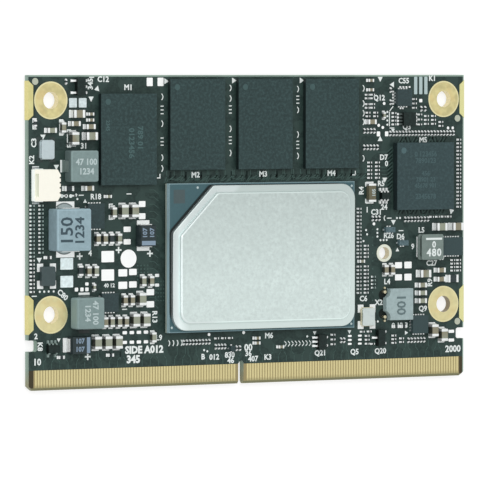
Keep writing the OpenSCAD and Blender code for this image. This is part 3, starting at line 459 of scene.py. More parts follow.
def placed_tin(name, tint, shaded):
    """Tin with painted shade on its walls and inside the given limits of X and Y in millimetres, each with
    its factor.
    """
    finish = Finish(name, Metallic=0.3)
    fine = finish.noise(1800, 3, 0.6)
    finish.start(finish.vary(fine, tint, 0.92, 1.04))
    finish.coat(finish.upright() * 0.6, shade(tint, 0.45))
    # Painted shade inside each range
    for *limits, factor in shaded:
        finish.coat(finish.inside(*limits), shade(looks().board.shaded_tin, factor))
    return finish.done(fine, 0.36, 0.2, 0.012)


def ink(name, tint, rough=0.6, patchy=0.12):
    """Printed ink with slightly uneven cover."""
    finish = Finish(name, Specular_IOR_Level=0.2)
    fine = finish.noise(3500, 3, 0.7)
    finish.wear(Base_Color=finish.vary(fine, tint, 1 - patchy, 1))
    finish.wear(Roughness=rough - 0.1 + fine * 0.2)
    return finish.material


def paint(node, material):
    """Puts a finish on a node that keeps its shape."""
    slots = nodes[node].data.materials
    if not slots:
        slots.append(material)
    for index in range(len(slots)):
        slots[index] = material


def welded(node):
    """Mesh of a node whose triangles share their corners."""
    mesh = bmesh.new()
    mesh.from_mesh(nodes[node].data)
    bmesh.ops.remove_doubles(mesh, verts=mesh.verts, dist=WELD)
    return mesh


def extruded(mesh, faces, step):
    """Draws faces out along a step; the first faces stay as the other end."""
    made = bmesh.ops.extrude_face_region(mesh, geom=faces, use_keep_orig=True)
    moved = [item for item in made["geom"] if isinstance(item, bmesh.types.BMVert)]
    bmesh.ops.translate(mesh, vec=step, verts=moved)


def solid_boxes(node):
    """Lowest and highest corner of each separate solid of a node."""
    mesh = welded(node)
    left = set(mesh.verts)
    boxes = []
    while left:
        front = [left.pop()]
        low = front[0].co.copy()
        high = front[0].co.copy()
        while front:
            vert = front.pop()
            low = Vector(map(min, low, vert.co))
            high = Vector(map(max, high, vert.co))
            for edge in vert.link_edges:
                other = edge.other_vert(vert)
                if other in left:
                    left.remove(other)
                    front.append(other)
        boxes.append((low, high))
    mesh.free()
    return sorted(boxes, key=lambda pair: tuple(round(part, 6) for part in (*pair[0], *pair[1])))


def settled(name, mesh, material, weighted=True):
    """Object of a finished mesh, riding with the board."""
    data = bpy.data.meshes.new(name)
    mesh.to_mesh(data)
    mesh.free()
    data.materials.append(material)
    data.shade_smooth()
    data.set_sharp_from_angle(angle=math.radians(35))
    piece = bpy.data.objects.new(name, data)
    bpy.context.scene.collection.objects.link(piece)
    if weighted:
        even = piece.modifiers.new("even", "WEIGHTED_NORMAL")
        even.keep_sharp = True
    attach(piece, "root")
    return piece


def softened(node, width, segments, material):
    """Copy of a node with rounded edges, which stands for it."""
    mesh = welded(node)
    bmesh.ops.dissolve_limit(
        mesh, angle_limit=math.radians(1.5), use_dissolve_boundaries=False,
        verts=mesh.verts, edges=mesh.edges)
    floor = min(vert.co.z for vert in mesh.verts) + 0.002 * MM
    edges = []
    for edge in mesh.edges:
        if len(edge.link_faces) != 2 or not edge.is_convex:
            continue
        if all(vert.co.z < floor for vert in edge.verts):
            continue
        if edge.calc_face_angle(0) > math.radians(32):
            edges.append(edge)
    bmesh.ops.bevel(
        mesh, geom=edges, offset=width, offset_type="OFFSET", segments=segments, profile=0.5,
        affect="EDGES", clamp_overlap=True, material=-1)
    piece = settled(node + ".soft", mesh, material)
    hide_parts(node)


class Marks:
    """Flat printed marks gathered on one level, then given a thickness."""

    def __init__(self, level):
        self.mesh = bmesh.new()
        self.level = level

    def put(self, x, y, turn):
        """Moves the newest mark, which still lies at level zero, to its place."""
        verts = [vert for vert in self.mesh.verts if vert.co.z < self.level / 2]
        place = Matrix.Translation((x * MM, y * MM, self.level))
        spin = Matrix.Rotation(math.radians(turn), 4, "Z")
        bmesh.ops.transform(self.mesh, matrix=place @ spin, verts=verts)

    def patch(self, long, wide):
        """Corners of a flat bar that still lies around the origin."""
        made = bmesh.ops.create_grid(self.mesh, x_segments=1, y_segments=1, size=0.5 * MM)
        bmesh.ops.scale(self.mesh, vec=(long, wide, 1), verts=made["verts"])
        return made["verts"]

    def bar(self, x, y, long, wide, turn=0):
        self.patch(long, wide)
        self.put(x, y, turn)

    def wedge(self, x, y, long, wide, share, turn=0):
        """Bar whose right end narrows to a share of its width."""
        narrow = [vert for vert in self.patch(long, wide) if vert.co.x > 0]
        bmesh.ops.scale(self.mesh, vec=(1, share, 1), verts=narrow)
        self.put(x, y, turn)

    def disc(self, x, y, across, sides=20, turn=0):
        bmesh.ops.create_circle(self.mesh, cap_ends=True, segments=sides, radius=across / 2 * MM)
        self.put(x, y, turn)

    def arc(self, x, y, radius, wide, sweep, turn=0, steps=8):
        start = math.radians(-sweep / 2)
        ray = Vector((math.cos(start), math.sin(start), 0)) * MM
        ends = [self.mesh.verts.new(ray * reach) for reach in (radius - wide / 2, radius + wide / 2)]
        edge = self.mesh.edges.new(ends)
        bmesh.ops.spin(
            self.mesh, geom=[*ends, edge], cent=(0, 0, 0), axis=(0, 0, 1),
            angle=math.radians(sweep), steps=steps, use_merge=False)
        self.put(x, y, turn)

    def plus(self, x, y, long, wide):
        self.bar(x, y, long, wide)
        half = (long - wide) / 2
        for side in (-1, 1):
            self.bar(x, y + side * (half + wide) / 2, wide, half)

    def corner(self, x, y, long, wide, turn):
        """Bracket whose legs run right and down from its corner before it is turned."""
        half = (long - wide) / 2
        for step, size in (((half, 0, 0), (long, wide)), ((0, -long / 2, 0), (wide, long - wide))):
            bmesh.ops.translate(self.mesh, vec=Vector(step) * MM, verts=self.patch(*size))
        self.put(x, y, turn)

    def line(self, points, wide):
        for (ax, ay), (bx, by) in zip(points, points[1:]):
            run = math.hypot(bx - ax, by - ay)
            turn = math.degrees(math.atan2(by - ay, bx - ax))
            self.bar((ax + bx) / 2, (ay + by) / 2, run + wide * 0.8, wide, turn)

    def label(self, text, x, y, high, turn=0, heavy=0):
        """Text of a given height, perhaps with strokes made heavier by some millimetres."""
        letters = bpy.data.curves.new("letters", "FONT")
        letters.body = text
        letters.size = high / CAPITAL * MM
        letters.align_x = "CENTER"
        letters.align_y = "CENTER"
        letters.resolution_u = 2
        letters.offset = (min(0.045 * high, 0.06) + heavy) * MM
        holder = bpy.data.objects.new("letters", letters)
        flat = bpy.data.meshes.new_from_object(holder)
        self.mesh.from_mesh(flat)
        self.put(x, y, turn)
        bpy.data.objects.remove(holder)
        bpy.data.curves.remove(letters)
        bpy.data.meshes.remove(flat)

    def piece(self, name, thick, material):
        extruded(self.mesh, self.mesh.faces[:], (0, 0, thick * MM))
        bmesh.ops.recalc_face_normals(self.mesh, faces=self.mesh.faces)
        settled(name, self.mesh, material, weighted=False)


class MODULE_OT_board(bpy.types.Operator):
    """Finish the board, its fingers, lands and pads"""

    bl_idname = "module_looks.board"
    bl_label = "Board"

    # Bare strip at the fingers, its dark ends and the pale rims of the other edges
    strip = 3.2 * MM
    strip_end = 0.85 * MM
    back_rim = 0.26 * MM
    side_rim = 0.2 * MM

    def laminate(self, tints):
        """Coated faces, routed walls, the bare strip and the ground lead-in."""
        finish = Finish("board_mask", Specular_IOR_Level=0.2)
        across = finish.axis("X")
        along = finish.axis("Y")
        pour = finish.step(finish.noise(420, 1, 0.3), 0.50, 0.54)
        fine = finish.noise(2600, 3, 0.6)
        finish.start(finish.mix(pour, tints.mask, tints.track))
        finish.coat(finish.step(fine, 0.35, 0.8), shade(tints.track, 1.12))
        bare = finish.vary(finish.noise(900, 1, 0.5, (1, 0.12, 1)), tints.bare, 0.8, 1.2)
        bare = finish.mix(abs(across) > SIDE_EDGE - self.strip_end, bare, shade(tints.bare, 0.16))
        finish.coat(along < FINGER_EDGE + self.strip, bare)
        rim = (along > BACK_EDGE - self.back_rim) + (across > SIDE_EDGE - self.side_rim)
        finish.coat(rim * 0.7, tints.wall)
        plies = finish.noise(9000, 1, 0.5, (0.04, 0.04, 1))
        dark = finish.vary(plies, tints.wall, 0.6, 0.86)
        light = finish.vary(plies, tints.wall, 1, 1.26)
        wall = finish.mix(finish.step(finish.axis("Z"), BOARD_TOP, BOARD_BOTTOM), dark, light)
        near = finish.step(along, FINGER_EDGE + 3.5 * MM, FINGER_EDGE + 1 * MM)
        wall = finish.mix(near * 0.7, wall, tints.low_wall)
        upward = abs(finish.facing("Z"))
        finish.coat(finish.step(upward, 0.06, 0.05), wall)
        ground = finish.vary(finish.noise(1500, 2), tints.bevel, 0.85, 1)
        finish.coat((upward < 0.97) * (upward > 0.08), ground)
        return finish.done(fine, 0.36, 0.16, 0.008, pour * 0.6 + fine * 0.3)

    def plate_ends(self, plate):
        """Fills the edge plates out to straight sides with slanted ends, on both faces."""
        thick = 0.04
        taper = 0.76
        for name, level in (("top", BOARD_TOP), ("bottom", BOARD_BOTTOM - thick * MM)):
            ends = Marks(level)
            for low, high in solid_boxes("edge_plating"):
                middle = (low + high) / 2 / MM
                inner = min(abs(low.x), abs(high.x))
                long = (SIDE_EDGE - inner) / MM
                x = math.copysign((SIDE_EDGE + inner) / 2 / MM, middle.x)
                turn = 0 if middle.x < 0 else 180
                ends.wedge(x, middle.y, long, (high.y - low.y) / MM - 0.1, taper, turn)
            ends.piece("edge_plate_ends_" + name, thick, plate)

    def execute(self, context):
        tints = looks().board
        paint("circuit_board", self.laminate(tints))
        gold = metal("finger_gold", tints.gold, 0.34, 0.85, foot=tints.bevel)
        for node in ("fingers_top", "fingers_bottom"):
            paint(node, gold)
        paint("mounting_lands", stained_lands(tints))
        plate = metal("plate_gold", tints.plate, 0.4, 0.6, wall=tints.plate_wall, left=tints.left_plate)
        paint("edge_plating", plate)
        self.plate_ends(plate)
        tin = pad_tin(tints)
        paint("heatsink_pad", tin)
        paint("bare_pads", tin)
        paint("heatsink_hole_ring", metal("ring_gold", tints.ring, 0.42, 0.4, wall=tints.ring_wall))
        paint("fiducials", metal("mark_gold", tints.fiducial, 0.42, 0.4))
        paint("part_lands", land_solder(tints))
        return {"FINISHED"}


class MODULE_OT_processor(bpy.types.Operator):
    """Dress the processor package"""

    bl_idname = "module_looks.processor"
    bl_label = "Processor"

    # Pale rim around the coating of the laminate, a painted highlight on its edge
    rim = 0.16 * MM

    def lid(self, tints):
        """Clouded nickel with painted light on the flange at the left and at the cut corner, a painted
        highlight where the top rises, painted shade at the foot of that rise along the front, and painted
        shade that deepens towards the back.
        """
        finish = Finish("lid_nickel", Metallic=0.9)
        low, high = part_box("heat_spreader_lid")
        flange_top = high.z - 0.45 * MM
        rise_start = high.z - 0.42 * MM
        rise_middle = high.z - 0.3 * MM
        across = finish.axis("X")
        along = finish.axis("Y")
        level = finish.axis("Z")
        mottle = finish.noise(1500, 4, 0.65)
        cloud = finish.noise(420, 3, 0.7)
        finish.start(finish.vary(finish.noise(90, 2), tints.lid, 0.97, 1.1))
        finish.coat(finish.step(cloud, 0.35, 0.7), shade(tints.lid, 0.94))
        finish.coat(finish.step(mottle, 0.4, 0.66), shade(tints.lid, 0.87))
        # Painted light on the flange: paler near the cut corner, and along the left side growing brighter
        # from the outer edge inwards
        slant = finish.step(across - low.x + high.y - along, 13 * MM, 12 * MM)
        flange = finish.mix(slant, shade(tints.lid, 0.96), shade(tints.lid_flange_light, 1.06))
        climb = finish.step(across, low.x, low.x + 1.1 * MM)
        left = finish.step(across, low.x + 3 * MM, low.x + 1.2 * MM)
        flange = finish.mix(left, flange, finish.vary(climb, tints.lid_flange_light, 0.88, 1.15))
        finish.coat(level < flange_top, flange)
        # Painted highlight on the rise of the top, milder at the left; at its foot painted shade along the
        # front and a painted highlight elsewhere
        near = finish.step(across, low.x + 9 * MM, low.x + 6 * MM)
        line = finish.mix(near, shade(tints.lid, 1.2), shade(tints.lid_flange_light, 1.02))
        front = along < low.y + 3 * MM
        foot = finish.mix(front, shade(tints.lid_flange_light, 1.05), shade(tints.lid, 0.78))
        line = finish.mix(level < rise_middle, line, foot)
        finish.coat((level > rise_start) * (finish.facing("Z") < 0.985), line)
        # Painted shade that deepens towards the back edge
        back_shade = finish.step(along, high.y - 16 * MM, high.y)
        finish.coat(back_shade * 0.19, (0, 0, 0))
        return finish.done(mottle, 0.4, 0.16, 0.008)

    def laminate(self, tints):
        """Blue coating with a pale rim as a painted highlight, over plies with a pale core."""
        finish = Finish("substrate_blue", Specular_IOR_Level=0.3)
        low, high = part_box("processor_substrate")
        across = finish.axis("X")
        along = finish.axis("Y")
        fine = finish.noise(2200, 3, 0.6)
        finish.start(finish.vary(fine, tints.substrate, 0.88, 1.15))
        # Painted highlight along the edge of the coating
        rim = (across < low.x + self.rim) + (across > high.x - self.rim)
        rim = rim + (along < low.y + self.rim) + (along > high.y - self.rim)
        finish.coat(rim * 0.6, shade(tints.substrate_wall, 0.62))
        plies = finish.noise(9000, 1, 0.5, (0.03, 0.03, 1))
        wall = finish.vary(plies, tints.substrate_wall, 0.85, 1)
        core = finish.axis("Z") < low.z + 0.4 * (high.z - low.z)
        wall = finish.mix(core, wall, tints.substrate_core)
        finish.coat(abs(finish.facing("Z")) < 0.3, wall)
        return finish.done(fine, 0.38, 0.14, 0.005)

    def execute(self, context):
        tints = looks().parts
        edges = looks().edges
        softened("heat_spreader_lid", edges.lid, 3, self.lid(tints))
        softened("processor_substrate", edges.body, 1, self.laminate(tints))
        ball = metal("ball_solder", looks().board.solder, 0.3)
        for node in ("processor_balls", "memory_balls", "controller_balls"):
            paint(node, ball)
        paint("processor_dies", dull("die_silicon", display(92, 96, 104), 0.22, gloss=0.5))
        paint("thermal_compound", dull("compound_grey", display(150, 152, 152), 0.7))
        paint("lid_sealant", dull("sealant_black", display(24, 32, 32), 0.6))
        return {"FINISHED"}


class MODULE_OT_chips(bpy.types.Operator):
    """Dress the memory row, the controller and the small chips"""

    bl_idname = "module_looks.chips"
    bl_label = "Chips"

    def execute(self, context):
        tints = looks().parts
        edges = looks().edges
        mould = moulded("mould_black", tints.mould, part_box("storage_chip")[1].z)
        for place in ("left", "middle", "right"):
            softened("memory_chip_" + place, edges.chip, 2, mould)
        softened("storage_chip", edges.chip, 2, mould)
        square = moulded("controller_mould", tints.controller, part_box("controller_chip")[1].z, 1.4)
        softened("controller_chip", edges.chip, 2, square)
        flat = Finish("flat_mould", Specular_IOR_Level=0.22)
        fine = flat.noise(3200, 3, 0.65)
        flat.start(flat.mix(flat.axis("X") > 30 * MM, tints.flat_mould, shade(tints.flat_mould, 1.35)))
        flat.coat(flat.inside(24.9, 30, -3.6, 0.3), tints.blue_chip)
        flat.coat(flat.step(fine, 0.4, 0.75), shade(tints.controller, 1.1))
        softened("flat_chips", edges.body, 1, flat.done(fine, 0.38, 0.2, 0.008))
        dark = moulded("small_mould", tints.small_mould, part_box("leaded_chips")[0].z)
        softened("leaded_chips", edges.chip, 2, dark)
        tin = looks().board.tin
        # Painted shade on the leads of the lower left chip and on the lead shoulders of a chip at the
        # upper right
        bent = placed_tin("bent_tin", tin, ((-39, -35, -20, -16, 1.3), (28.1, 29.4, 16.3, 19, 0.35)))
        softened("chip_leads", edges.strip, 1, bent)
        paint("flat_chip_contacts", metal("lead_tin", tin, 0.32, 0.85))
        return {"FINISHED"}


class MODULE_OT_inductors(bpy.types.Operator):
    """Dress the power inductors"""

    bl_idname = "module_looks.inductors"
    bl_label = "Inductors"

    # Thickness of the thin trim at the feet in millimetres
    trim = 0.02

    def painted_bends(self, tints):
        """Painted shade where the feet of the large inductor bend, each with a darker painted shadow along
        its outer rim.
        """
        low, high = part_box("large_choke")
        across = (low.x + high.x) / 2 / MM - 0.2
        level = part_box("part_lands")[1].z
        painted_bends = Marks(level)
        painted_bend_rims = Marks(level + self.trim * MM)
        for place, turn in ((high.y / MM - 1.2, 90), (low.y / MM + 1.45, -90)):
            painted_bends.arc(across, place, 1.5, 1, 88, turn, 14)
            painted_bend_rims.arc(across, place, 2.0, 0.2, 90, turn, 14)
        # Grey arcs of painted shade, then dark rims of painted shadow
        painted_bends.piece("large_choke_painted_bends", self.trim, metal("painted_bend_shade", tints.bend, 0.3, 0.7))
        painted_bend_rims.piece("large_choke_painted_bend_rims", self.trim / 2, ink("painted_bend_shadow", shade(tints.bend, 0.5)))

    def painted_recess_shadow(self, tints):
        """Painted shadow: dark discs at the left corners of the low inductor, where its recesses are."""
        low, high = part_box("low_choke")
        marks = Marks(BOARD_TOP)
        for y in (low.y + 1.05 * MM, high.y - 1.05 * MM):
            marks.disc(low.x / MM + 0.1, y / MM, 1.7)
        marks.piece("low_choke_painted_shadow", self.trim, ink("painted_shadow_ink", tints.painted_recess_shadow))

    def execute(self, context):
        tints = looks().parts
        edges = looks().edges
        # Pressed ferrite whose rounded edges get a painted highlight
        pressed = {"grain": 1500, "spread": 0.2, "height": 0.03, "gloss": 0.3, "tone": 0.2, "edge_highlight": 0.2}
        # Painted shade on the sides of the upper inductor and the drum, painted light on the sides of the
        # lower inductor
        upper = dull("ferrite_grey", tints.ferrite_grey, 0.62, **pressed, side=0.66)
        lower = dull("ferrite_low", tints.ferrite_grey, 0.62, **pressed, side=1.5)
        blue = dull("ferrite_blue", tints.ferrite_blue, 0.6, **(pressed | {"edge_highlight": 0.25}))
        pale = dull("ferrite_pale", tints.ferrite_pale, 0.6, **pressed)
        drum = dull("ferrite_drum", tints.ferrite_drum, 0.55, **(pressed | {"height": 0.02}), side=0.8)
        softened("large_choke", edges.choke, 4, blue)
        softened("upper_choke", edges.choke, 4, upper)
        softened("lower_choke", edges.choke, 4, lower)
        softened("low_choke", edges.drum, 3, pale)
        softened("drum_core", edges.drum, 3, drum)
        paint("drum_winding", dull("winding_resin", tints.resin, 0.4, 900, 0.2, 0.05, 0.4))
        solder = looks().board.solder
        tin = metal("terminal_tin", solder, 0.34, 0.6)
        for node in ("large_choke_terminals", "drum_terminals"):
            softened(node, edges.strip, 1, tin)
        # Painted shade on the left terminal of the upper inductor, a strip beside the back of the lower
        # inductor and the front terminal of the lower inductor
        shaded = []
        low, high = (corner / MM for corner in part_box("upper_choke"))
        shaded.append((low.x - 0.45, low.x, low.y, high.y, 1))
        low, high = (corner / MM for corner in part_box("lower_choke"))
        shaded.append((low.x + 1.1, high.x, high.y, high.y + 0.4, 0.6))
        shaded.append((low.x, high.x, low.y - 1, low.y, 0.16))
        softened("choke_terminals", edges.strip, 1, placed_tin("choke_tin", solder, shaded))
        copper = metal("terminal_copper", tints.copper, 0.34, 0.9)
        softened("low_choke_terminals", edges.strip, 1, copper)
        self.painted_bends(tints)
        self.painted_recess_shadow(tints)
        return {"FINISHED"}


class MODULE_OT_connector(bpy.types.Operator):
    """Dress the cable connector"""

    bl_idname = "module_looks.connector"
    bl_label = "Connector"

    def execute(self, context):
        edges = looks().edges
        tint = looks().parts.ivory
        ivory = Finish("ivory_plastic", Specular_IOR_Level=0.4, Emission_Strength=1.0)
        fine = ivory.noise(1400, 3, 0.6)
        ivory.start(ivory.vary(fine, tint, 0.97, 1.03))
        # Painted light: the faces that don't look up glow, the outer left wall brightly, cool low down and
        # warm higher up, the other walls faintly
        sideways_share = ivory.step(ivory.facing("Z"), 0.8, 0.2)
        outer = ivory.axis("X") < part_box("socket_housing")[0].x + 0.2 * MM
        below = ivory.axis("Z") < BOARD_TOP + 1.2 * MM
        painted_side_light = ivory.mix(outer, (0.1, 0.14, 0.13), ivory.mix(below, (0.34, 0.33, 0.27), (0.3, 0.36, 0.38)))
        ivory.wear(Emission_Color=ivory.mix(sideways_share, (0, 0, 0), painted_side_light))
        plastic = ivory.done(fine, 0.35, 0.14, 0.006)
        softened("socket_housing", edges.socket, 2, plastic)
        tin = metal("contact_tin", looks().board.tin, 0.3, 0.9)
        softened("socket_contacts", edges.strip, 1, tin)
        softened("socket_clips", edges.strip, 1, tin)
        low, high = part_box("socket_housing")
        notches = Marks(high.z)
        for step in range(4):
            notches.bar(high.x / MM - 0.12, (low.y + high.y) / 2 / MM - 1.2 + step * 0.8, 0.22, 0.26)
        notches.piece("socket_notches", 0.01, ink("notch_dark", display(40, 46, 44)))
        return {"FINISHED"}


class MODULE_OT_clocks(bpy.types.Operator):
    """Dress the oscillator and the clock crystals"""

    bl_idname = "module_looks.clocks"
    bl_label = "Clocks"

    def execute(self, context):
        tints = looks().parts
        edges = looks().edges
        can = dull("crystal_ceramic", tints.oscillator, 0.4, 1800, 0.16, 0.006, 0.3)
        softened("oscillator", edges.socket, 2, can)
        for node, slot, tint, metallic in (
                ("crystal_bases", "crystal_ceramic", tints.crystal_base, 0.2),
                ("crystal_lids", "crystal_metal", tints.crystal, 0.85)):
            finish = Finish(node, Metallic=metallic)
            fine = finish.noise(1200, 3, 0.6)
            finish.start(finish.mix(finish.axis("X") > 0, tints.cool_crystal, tint))
            finish.coat(finish.step(fine, 0.5, 0.7) * 0.3, shade(tints.cool_crystal, 0.7))
            softened(node, edges.body, 2, finish.done(fine, 0.26, 0.14, 0.006))
        return {"FINISHED"}


class MODULE_OT_passives(bpy.types.Operator):
    """Dress the capacitors, resistors and the fuse"""

    bl_idname = "module_looks.passives"
    bl_label = "Two-ended parts"

    def ceramic(self, tints):
        """Ceramic in two batches of tan and brown, with painted shade on the walls."""
        finish = Finish("capacitor_ceramic", Specular_IOR_Level=0.3)
        batch = finish.step(finish.noise(260, 0), 0.44, 0.56)
        fine = finish.noise(2600, 3, 0.6)
        finish.start(finish.mix(batch, tints.ceramic_tan, tints.ceramic_brown))
        finish.coat(fine * 0.5, shade(tints.ceramic_tan, 0.7))
        # Painted shade on the walls
        finish.coat(finish.upright(0.7, 0.2), shade(tints.ceramic_tan, 0.14))
        return finish.done(fine, 0.42, 0.16, 0.008)

    def execute(self, context):
        tints = looks().parts
        edges = looks().edges
        ceramic = self.ceramic(tints)
        plating = looks().board.tin
        # The walls of the ends get painted shade
        tin = metal("end_tin", plating, 0.4, 0.2, 1800, 0.2, 0.012, shade(plating, 0.45))
        dark = dull("resistor_black", tints.resistor, 0.4, 2400, 0.16, 0.006, 0.3)
        for size, end in (("large", 0.08), ("medium", 0.06), ("small", 0.04)):
            softened(size + "_capacitor_bodies", edges.body, 1, ceramic)
            softened(size + "_capacitor_ends", end * MM, 2, tin)
        softened("underside_capacitor_bodies", edges.body, 1, ceramic)
        softened("underside_capacitor_ends", 0.04 * MM, 1, tin)
        softened("resistor_bodies", edges.body, 1, dark)
        softened("resistor_ends", edges.strip, 1, tin)
        softened("tiny_part_bodies", 0.015 * MM, 1, dark)
        # Painted shade on the tiny part ends of a column at the left and a group at the right
        tiny = placed_tin("tiny_tin", plating, ((-41, -37, -4, 5, 2.1), (22.8, 24.6, -10.5, -6, 1.6)))
        softened("tiny_part_ends", 0.02 * MM, 1, tiny)
        case = dull("tantalum_black", tints.tantalum, 0.45, 2400, 0.2, 0.008, 0.3)
        softened("tantalum_bodies", edges.chip, 2, case)
        # The walls of these terminals get a milder painted shade
        bright = metal("tantalum_tin", plating, 0.4, 0.2, 1800, 0.2, 0.012, shade(plating, 0.85))
        softened("tantalum_terminals", edges.strip, 1, bright)
        softened("fuse_body", edges.chip, 2, dull("fuse_olive", tints.fuse, 0.5, 2000))
        softened("fuse_ends", edges.end, 2, tin)
        return {"FINISHED"}


class MODULE_OT_solder(bpy.types.Operator):
    """Run solder up the ends of the two-ended parts"""

    bl_idname = "module_looks.solder"
    bl_label = "Solder"

    # Kind, reach in millimetres, rise as a share of the end's height, steps of the curve
    groups = (
        ("large_capacitor", 0.26, 0.62, 3), ("medium_capacitor", 0.26, 0.6, 3),
        ("small_capacitor", 0.24, 0.6, 2), ("resistor", 0.24, 0.7, 2),
        ("tiny_part", 0.16, 0.6, 1), ("underside_capacitor", 0.24, 0.6, 2),
    )

    def fillet(self, mesh, low, high, away, reach, rise, steps, up):
        """One concave wedge against the outer face of a metal end."""
        wide = (high.x - low.x) * abs(away.y) + (high.y - low.y) * abs(away.x)
        half = wide * 0.47
        tall = (high.z - low.z) * rise
        middle = (low + high) / 2
        foot = low.z if up else high.z
        flank = Vector((-away.y, away.x, 0))
        face = middle + away * ((high - low).dot(Vector(map(abs, away))) / 2)
        outline = [(0, 0)]
        for index in range(steps + 1):
            share = index / steps
            outline.append((reach * share, tall * (1 - share) ** 2 + 0.02 * MM * share))
        outline.append((reach, 0))
        verts = []
        for out, rises in outline:
            place = face + away * out - flank * half
            place.z = foot + (rises if up else -rises)
            verts.append(mesh.verts.new(place))
        start = mesh.faces.new(verts)
        extruded(mesh, [start], flank * half * 2)

    def execute(self, context):
        solder = metal("fillet_solder", looks().board.solder, 0.4, 0.1, 1500, 0.16, 0.01)
        for kind, reach, rise, steps in self.groups:
            bodies = solid_boxes(kind + "_bodies")
            mesh = bmesh.new()
            for low, high in solid_boxes(kind + "_ends"):
                middle = (low + high) / 2
                nearest = min(bodies, key=lambda pair: ((pair[0] + pair[1]) / 2 - middle).length)
                gap = middle - (nearest[0] + nearest[1]) / 2
                if abs(gap.x) > abs(gap.y):
                    away = Vector((math.copysign(1, gap.x), 0, 0))
                else:
                    away = Vector((0, math.copysign(1, gap.y), 0))
                self.fillet(mesh, low, high, away, reach * MM, rise, steps, "underside" not in kind)
            bmesh.ops.recalc_face_normals(mesh, faces=mesh.faces)
            settled(kind + "_solder", mesh, solder, weighted=False)
        return {"FINISHED"}


class MODULE_OT_tracks(bpy.types.Operator):
    """Lay the covered copper tracks and vias"""

    bl_idname = "module_looks.tracks"
    bl_label = "Tracks"

    def execute(self, context):
        marks = Marks(BOARD_TOP)
        gaps = Marks(BOARD_TOP)
        # Pairs above the finger row
        for step in range(52):
            x = -38.4 + step * 1.5
            lean = 0.5 if step % 4 < 2 else -0.5
            marks.line([(x + lean, -18.9), (x + lean, -20), (x, -20.6), (x, -21.6)], 0.11)
        # Fan between the processor and the memory row
        for step in range(40):
            x = -16.2 + step * 0.95
            lean = (step * 7) % 5 * 0.22
            foot = 7.75 + (step * 3) % 4 * 0.16
            marks.line([(x, foot), (x + 0.35 + lean, 8.75), (x + 0.35 + lean, 9.6)], 0.17)
            marks.line([(x + 0.3, foot), (x + 0.62 + lean / 2, 8.3)], 0.15)
            gaps.line([(x + 0.55 + lean / 3, 8.1 + lean / 2), (x + 0.9 + lean / 2, 8.8)], 0.2)
            if step % 3 == 1:
                gaps.bar(x + 0.1, 8.7, 0.35, 1.5)
        # Fan to the left of the controller
        for step in range(12):
            y = 12.6 - step * 0.62
            reach = 24.2 + (step * 5) % 4 * 0.4
            marks.line([(27, y + 0.5), (26, y - 0.3), (reach, y - 0.3)], 0.12)
            gaps.line([(26.9, y + 0.1), (26.1, y - 0.5)], 0.18)
        # Fans above and below the controller
        for step in range(14):
            x = 28.2 + step * 0.66
            lean = 0.5 if step % 4 < 2 else -0.3
            marks.line([(x, 2.7), (x - lean, 2), (x - lean, 1.4)], 0.12)
            marks.line([(x, 13.9), (x + lean, 14.6), (x + lean, 15.1)], 0.12)
            gaps.line([(x + 0.33, 2.65), (x + 0.33 - lean / 2, 2.1)], 0.2)
            gaps.line([(x + 0.33, 13.95), (x + 0.33 + lean, 14.7)], 0.2)
        # Turns to the left of the processor
        for step in range(18):
            y = 6 - step * 1.15
            marks.line([(-17.4, y), (-18.2, y + 0.6), (-19, y + 0.6)], 0.1)
        # Turns at the lower left
        for step in range(7):
            x = -36 + step * 2.2
            marks.line([(x, -18.4), (x + 0.6, -19.2), (x + 0.6, -20.4)], 0.11)
        # Fields of vias to the left of the processor
        for column in range(4):
            for row in range(6):
                marks.disc(-21.2 + column * 0.62, -8.3 + row * 0.56, 0.3, 10)
                marks.disc(-17.9 + column * 0.5, -11.2 + row * 0.62, 0.26, 10)
        # Rows of vias behind the memory and right of the processor
        for step in range(16):
            marks.disc(-12.6 + step * 2.05, 24.65, 0.26, 10)
            marks.disc(23.2, 7.4 - step * 1.3, 0.26, 10)
        tints = looks().board
        pale = dull("track_mask", shade(tints.track, 1.6), 0.4, 2600, 0.16, 0.004, 0.2)
        dark = dull("gap_mask", shade(tints.mask, 0.6), 0.4, 2600, 0.16, 0.004, 0.1)
        marks.piece("covered_tracks", 0.012, pale)
        gaps.piece("track_gaps", 0.008, dark)
        return {"FINISHED"}


